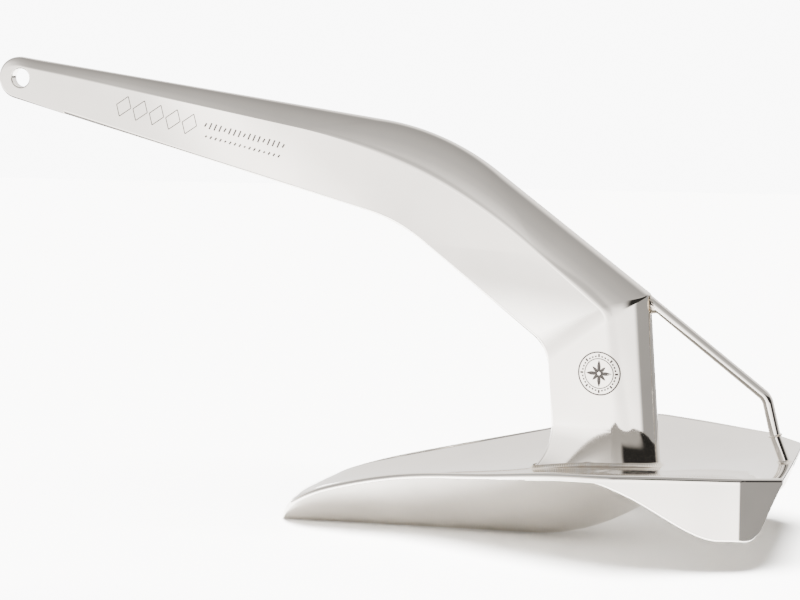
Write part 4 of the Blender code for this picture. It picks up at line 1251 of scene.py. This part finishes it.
class ANCHOR_OT_bar_welds(Operator):
    """Weld ring, collar at the shank and fillet at the blade"""
    bl_idname = "anchor.bar_welds"
    bl_label = "Bar welds"

    def execute(self, context):
        bar = Bar()
        sizes = context.scene.anchor_bar
        weld = context.scene.anchor_weld
        steps = 96
        a = np.linspace(0.0, 2.0 * math.pi, steps, endpoint=False)
        around = ripple(a * bar.radius, 2.0 * math.pi * bar.radius)[None, :]

        # Ring: a half-round bead, height the sine and place the cosine of one angle.
        b = np.linspace(0.0, math.pi, 15)[:, None]
        along = -0.5 * sizes.ring_width * np.cos(b)
        crown = bar.radius + (sizes.ring_stand - around) * np.sin(b)
        places = bar.ring + bar.away * along
        outside = bar.circles(places, np.tile(bar.away, (len(b), 1)), crown, steps)
        inside = bar.circles(places[[-1, 0]], np.tile(bar.away, (2, 1)),
                             bar.radius - WELD_SINK, steps)
        rings = np.concatenate((outside, inside))
        add_piece("bar_weld_ring", [looped_solid(rings)], WELDED, ["trip_bar_ring"],
                  sharp_angle=60.0)

        # Collar: thick under the bar, thin above it, fading along the bar from the shank's face.
        under = 0.5 * (1.0 + np.sin(a))[None, :]
        q = np.linspace(0.0, 1.0, 14)[:, None]
        length = (COLLAR_RUN[0] + COLLAR_RUN[1] * under) * MM
        stand = (COLLAR_STAND[0] + COLLAR_STAND[1] * under ** 2) * MM * (1.0 - q) ** 1.7
        stand = stand + around * np.sin(math.pi * q)
        into = np.array((bar.into[0], 0.0, bar.into[1]))
        base = bar.circles(np.tile(bar.start, (len(q), 1)), np.tile(bar.into, (len(q), 1)),
                           bar.radius + stand, steps)
        base = bar.to_shank(base, WELD_SINK) + (q * length)[..., None] * into
        inner = bar.circles(np.tile(bar.start, (2, 1)), np.tile(bar.into, (2, 1)),
                            bar.radius - WELD_SINK, steps)
        inner = bar.to_shank(inner, WELD_SINK)
        inner[0] = inner[0] + length[0][:, None] * into
        add_piece("bar_shank_weld", [looped_solid(np.concatenate((base, inner)))], WELDED,
                  ["trip_bar_top_weld"], sharp_angle=60.0)

        # Fillet where the foot meets the blade, hollow like the one round the shank.
        leg = 0.55 * weld.leg
        q = np.linspace(0.0, 1.0, 11)[:, None]
        hollow = hollow_fillet(q)
        out = np.concatenate((bar.radius * 1.12 + leg * hollow + around * np.sin(math.pi * q),
                              np.full((2, steps), bar.radius * 0.9)))
        level = 0.0 * around
        up = np.concatenate((leg * hollow[::-1] + level, np.array([[-WALL_SINK], [leg]]) + level))
        x = bar.foot_x + out * np.cos(a)[None, :] - up * abs(bar.down[0] / bar.down[1])
        y = out * np.sin(a)[None, :]
        z = blade_z(np.minimum(x, REAR_X), y) + up
        rings = stack(np.minimum(x, REAR_X - 0.2 * MM), y, z)
        add_piece("bar_foot_fillet", [looped_solid(rings)], WELDED, ["trip_bar_foot_weld"],
                  sharp_angle=60.0)
        return {"FINISHED"}


# ---- etched marks ------------------------------------------------------------------------------
def onto_skin(shank, x, z):
    """Find the skin's row and reach under each (x, z) by Newton's method, then its point there."""
    middle = 0.5 * (shank.front + shank.crease)
    gap_x = middle[None, :, 0] - x.reshape(-1, 1)
    gap_z = middle[None, :, 1] - z.reshape(-1, 1)
    row = np.argmin(gap_x ** 2 + gap_z ** 2, axis=1).reshape(x.shape).astype(float)
    reach = np.full(x.shape, 0.5) * shank.depth[row.astype(int)]
    for _ in range(12):
        here = shank.skin(row, reach)
        by_row = shank.skin(row + 0.5, reach) - here
        by_reach = shank.skin(row, reach + 0.5 * MM) - here
        off_x = x - here[..., 0]
        off_z = z - here[..., 2]
        cross = by_row[..., 0] * by_reach[..., 2] - by_row[..., 2] * by_reach[..., 0]
        row = row + 0.5 * (off_x * by_reach[..., 2] - off_z * by_reach[..., 0]) / cross
        reach = reach + 0.5 * MM * (by_row[..., 0] * off_z - by_row[..., 2] * off_x) / cross
        row = np.clip(row, 0.0, shank.count - 2.0)
        reach = np.clip(reach, 0.0, None)
    return shank.skin(row, reach)


def inlay(shank, centre, tilt, patch, ring=False):
    """A thin closed skin of a mark: a grid of (across, up) in metres, turned and laid on the
    near side of the shank, its face a little proud and its back as far below. A ring closes on
    itself, so its last row repeats its first and is dropped."""
    a, b = patch[..., 0], patch[..., 1]
    x = centre[0] + a * math.cos(tilt) - b * math.sin(tilt)
    z = centre[1] + a * math.sin(tilt) + b * math.cos(tilt)
    face = mirrored(onto_skin(shank, x, z))
    lift = np.array((0.0, ETCH_LIFT, 0.0))
    if ring:
        return looped_solid(np.concatenate((face - lift, (face + lift)[:, ::-1]), axis=1)[:-1])
    rows, columns = face.shape[:2]
    count = rows * columns
    points = np.concatenate(((face - lift).reshape(-1, 3), (face + lift).reshape(-1, 3)))
    quads = grid_quads(rows, columns)
    edge = np.concatenate((np.arange(columns), columns - 1 + columns * np.arange(1, rows),
                           count - 2 - np.arange(columns - 1),
                           columns * np.arange(rows - 2, 0, -1)))
    following = np.roll(edge, -1)
    rim = np.stack((edge, following, following + count, edge + count), axis=-1)
    return points, np.concatenate((quads, quads[:, ::-1] + count, rim))


def ring_patch(outer, inner, steps=129):
    """A flat ring, as a grid of angle by radius; the outer radius may be a table by angle."""
    angle = 2.0 * math.pi * np.linspace(0.0, 1.0, steps)[:, None]
    outside = np.interp(angle, *outer) if isinstance(outer, tuple) else outer + 0.0 * angle
    radius = inner + (outside - inner) * np.linspace(0.0, 1.0, 6)[None, :]
    return np.stack((radius * np.cos(angle), radius * np.sin(angle)), axis=-1)


def line_patch(start, end, width):
    """A straight stroke, as a grid two points wide."""
    start, end = np.array(start), np.array(end)
    way = (end - start) / np.linalg.norm(end - start)
    side = np.array((-way[1], way[0])) * width / 2.0
    t = np.linspace(0.0, 1.0, 12)[:, None]
    middle = start + (end - start) * t
    return np.stack((middle - side, middle + side), axis=1)


class ANCHOR_OT_marks(Operator):
    """Etched ornament on the shank: a plain compass star in rings, a row of lozenges and ticks"""
    bl_idname = "anchor.marks"
    bl_label = "Etched marks"

    def execute(self, context):
        shank = Shank()

        # Compass star of eight rays inside two rings, with a scale of ticks between the rings.
        centre = np.array(STAR_AT) * MM
        corner = np.linspace(0.0, 2.0 * math.pi, 2 * 8 + 1)
        star = (corner, np.resize(STAR_RADII, len(corner)) * MM)
        rings = [(outer * MM, inner * MM) for outer, inner in STAR_RINGS] + [(star, STAR_HOLE * MM)]
        solids = [inlay(shank, centre, 0.0, ring_patch(*ring), ring=True) for ring in rings]
        for i in range(SCALE_TICKS):
            angle = 2.0 * math.pi * i / SCALE_TICKS
            way = np.array((math.cos(angle), math.sin(angle)))
            far = SCALE_TO if i % LONG_EVERY else SCALE_TO_LONG
            stroke = line_patch(way * SCALE_FROM * MM, way * far * MM, SCALE_WIDTH * MM)
            solids.append(inlay(shank, centre, 0.0, stroke))
        add_piece("etched_compass_star", solids, ETCHED)

        # Row of outlined lozenges along the upper shank.
        centre = np.array(LOZENGES_AT) * MM
        solids = []
        for i in range(LOZENGES):
            at = np.array(((i - (LOZENGES - 1) / 2.0) * LOZENGE_PITCH * MM, 0.0))
            corners = [at + np.array(point) * MM for point in LOZENGE]
            for start, end in zip(corners, corners[1:] + corners[:1]):
                stroke = line_patch(start, end, LOZENGE_LINE * MM)
                solids.append(inlay(shank, centre, ROW_TILT, stroke))
        add_piece("etched_lozenge_row", solids, ETCHED)

        # Two rows of slanted ticks behind the lozenges.
        centre = np.array(TICKS_AT) * MM
        solids = []
        for count, high, place in TICK_ROWS:
            for i in range(count):
                middle = np.array(((i - (count - 1) / 2.0) * TICK_PITCH, place)) * MM
                reach = np.array((TICK_SLANT, high / 2.0 if i % LONG_EVERY else 0.3 * high)) * MM
                stroke = line_patch(middle - reach, middle + reach, TICK_LINE * MM)
                solids.append(inlay(shank, centre, ROW_TILT, stroke))
        add_piece("etched_tick_rows", solids, ETCHED)
        return {"FINISHED"}


# ---- studio ------------------------------------------------------------------------------------
def fade(tree, source, start, end, falls=False):
    """A smooth step of a value between two places, rising or falling."""
    node = add_node(tree, "MapRange", {"Value": source}, From_Min=start, From_Max=end,
                    To_Min=float(falls), To_Max=1.0 - float(falls), interpolation_type="SMOOTHSTEP")
    return node.outputs["Result"]


def surround():
    """Soft surround by direction: brightest a little below the level and greyer overhead, with
    darker patches that stand for the unlit parts of a studio and show as dark in the metal."""
    world = bpy.data.worlds.new("studio_surround")
    world.use_nodes = True
    tree = world.node_tree
    tree.nodes.clear()
    way = add_node(tree, "TexCoord").outputs["Generated"]
    height = add_node(tree, "SeparateXYZ", {"Vector": way}).outputs["Z"]
    lowest = SKY_TONES[0][0]
    level = add_node(tree, "MapRange", {"Value": height}, From_Min=lowest, From_Max=1.0)
    warm = np.array(SKY_WARMTH)
    stops = [((z - lowest) / (1.0 - lowest), (*(tone * warm).tolist(), 1.0))
             for z, tone in SKY_TONES]
    colour = ramp(tree, level.outputs["Result"], stops).outputs["Color"]
    above = fade(tree, height, -0.01, 0.05)
    low = fade(tree, height, 0.40, 0.48, falls=True)
    band = add_node(tree, "Math", {0: above, 1: low}, operation="MULTIPLY").outputs["Value"]
    below = fade(tree, height, -0.02, 0.02, falls=True)
    # Each patch: its direction, the cosines where it starts and is full, its grey, its limit.
    for aim, near, far, grey, limit in (((1.0, -0.10, -0.15), 0.675, 0.80, 0.085, None),
                                        ((0.0, 1.0, 0.35), 0.10, 0.80, 0.36, above),
                                        ((0.0, 1.0, 0.0), 0.30, 0.80, 0.07, below),
                                        ((0.80, -0.585, 0.16), 0.78, 0.90, 0.006, band)):
        towards = add_node(tree, "VectorMath", {0: way}, operation="DOT_PRODUCT")
        towards.inputs[1].default_value = Vector(aim).normalized()
        patch = fade(tree, towards.outputs["Value"], near, far)
        if limit is not None:
            patch = add_node(tree, "Math", {0: patch, 1: limit}, operation="MULTIPLY")
            patch = patch.outputs["Value"]
        mixed = add_node(tree, "Mix", {"Factor": patch}, data_type="RGBA")
        tree.links.new(colour, mixed.inputs[6])
        mixed.inputs[7].default_value = (*(grey * warm).tolist(), 1.0)
        colour = mixed.outputs[2]
    path = add_node(tree, "LightPath")
    strength = add_node(tree, "MapRange", {"Value": path.outputs["Is Diffuse Ray"]},
                        To_Min=SKY_STRENGTH, To_Max=SKY_ON_FLOOR)
    lit = add_node(tree, "Background", {"Color": colour, "Strength": strength.outputs["Result"]})
    seen = add_node(tree, "Background", Color=(1.0, 1.0, 1.0, 1.0), Strength=SKY_BEHIND)
    either = add_node(tree, "MixShader", {0: path.outputs["Is Camera Ray"],
                                          1: lit.outputs["Background"],
                                          2: seen.outputs["Background"]})
    output = add_node(tree, "OutputWorld")
    tree.links.new(either.outputs["Shader"], output.inputs["Surface"])
    return world


def diffused_sun(name, aim, spread, strength):
    """Very wide soft light on the floor. Polished metal doesn't show it, only the surround."""
    light = bpy.data.lights.new(name, "SUN")
    light.angle = spread
    light.energy = strength
    lamp = bpy.data.objects.new(name, light)
    lamp.rotation_euler = Vector(aim).to_track_quat("-Z", "Y").to_euler()
    lamp.visible_glossy = False
    bpy.context.scene.collection.objects.link(lamp)


class ANCHOR_OT_stage(Operator):
    """Pale floor, soft surround, overhead light and the camera"""
    bl_idname = "anchor.stage"
    bl_label = "Studio"

    def execute(self, context):
        scene = context.scene
        studio = scene.anchor_studio
        low, high = np.array(CAD_BOX[0]), np.array(CAD_BOX[1])
        middle = (low + high) / 2.0

        # Floor: a flat table just below the keel, which runs far back and is trimmed at its sides.
        u = np.linspace(0.0, 1.0, 25)[:, None]
        v = np.linspace(0.0, 1.0, 25)[None, :]
        y = FLOOR_FRONT + FLOOR_RUN * v ** 2
        left = FLOOR_LEFT + FLOOR_LEFT_LEAN * y
        x = left + (high[0] + FLOOR_RIGHT - left) * u
        points = stack(x, y, low[2] - 0.5 * MM).reshape(-1, 3)
        mesh = bpy.data.meshes.new("studio_floor")
        mesh.from_pydata(points.tolist(), [], grid_quads(25, 25).tolist())
        mesh.update()
        if mesh.polygons[0].normal.z < 0.0:
            mesh.flip_normals()
        material, tree, shader = new_material("pale_paper_sweep")
        place = add_node(tree, "TexCoord").outputs["Object"]
        depth = add_node(tree, "SeparateXYZ", {"Vector": place}).outputs["Y"]
        tree.links.new(fade(tree, depth, FLOOR_FRONT, FLOOR_FULL), shader.inputs["Alpha"])
        shader.inputs["Base Color"].default_value = tuple(scene.anchor_colours.floor)
        shader.inputs["Roughness"].default_value = 0.9
        mesh.materials.append(material)
        floor = bpy.data.objects.new("studio_floor", mesh)
        scene.collection.objects.link(floor)

        scene.world = surround()
        diffused_sun("overhead_light", OVERHEAD_AIM, OVERHEAD_SPREAD, OVERHEAD_STRENGTH)

        flat = math.cos(studio.elevation)
        view = np.array((math.sin(studio.azimuth) * flat, -math.cos(studio.azimuth) * flat,
                         math.sin(studio.elevation)))
        aim = np.array((middle[0] + studio.aim_x, 0.0, middle[2] + studio.aim_z))
        camera = bpy.data.cameras.new("studio_camera")
        camera.sensor_width = 36.0
        camera.lens = studio.lens
        camera.clip_end = 200.0
        eye = bpy.data.objects.new("studio_camera", camera)
        eye.location = aim + view * studio.distance
        eye.rotation_euler = Vector(-view).to_track_quat("-Z", "Y").to_euler()
        scene.collection.objects.link(eye)
        scene.camera = eye
        return {"FINISHED"}


# ---- panel and order of work -------------------------------------------------------------------
GROUPS = {
    "anchor_fluke": FlukeSizes,
    "anchor_shank": ShankSizes,
    "anchor_eye": EyeSizes,
    "anchor_bar": BarSizes,
    "anchor_weld": WeldSizes,
    "anchor_colours": FinishColours,
    "anchor_studio": StudioSettings,
}

STEPS = (
    ANCHOR_OT_stage, ANCHOR_OT_beak, ANCHOR_OT_deck, ANCHOR_OT_rims, ANCHOR_OT_keel,
    ANCHOR_OT_wings, ANCHOR_OT_shank_sides, ANCHOR_OT_shank_back, ANCHOR_OT_shank_front,
    ANCHOR_OT_eye, ANCHOR_OT_foot_weld, ANCHOR_OT_trip_bar, ANCHOR_OT_bar_welds, ANCHOR_OT_marks,
)


class ANCHOR_PT_panel(Panel):
    """Lists the anchor's pieces in the order they are built"""
    bl_idname = "ANCHOR_PT_panel"
    bl_label = "Fluke anchor"
    bl_space_type = "VIEW_3D"
    bl_region_type = "UI"
    bl_category = "Anchor"

    def draw(self, context):
        for step in STEPS:
            self.layout.operator(step.bl_idname)
        for group in GROUPS:
            box = self.layout.box()
            settings = getattr(context.scene, group)
            for name in settings.__annotations__:
                box.prop(settings, name)


def register():
    for name, group in GROUPS.items():
        bpy.utils.register_class(group)
        setattr(bpy.types.Scene, name, PointerProperty(type=group))
    for step in STEPS:
        bpy.utils.register_class(step)
    bpy.utils.register_class(ANCHOR_PT_panel)


def unregister():
    bpy.utils.unregister_class(ANCHOR_PT_panel)
    for step in reversed(STEPS):
        bpy.utils.unregister_class(step)
    for name, group in GROUPS.items():
        delattr(bpy.types.Scene, name)
        bpy.utils.unregister_class(group)


def main():
    register()
    for step in STEPS:
        group, name = step.bl_idname.split(".")
        getattr(getattr(bpy.ops, group), name)()


if __name__ == "__main__":
    main()
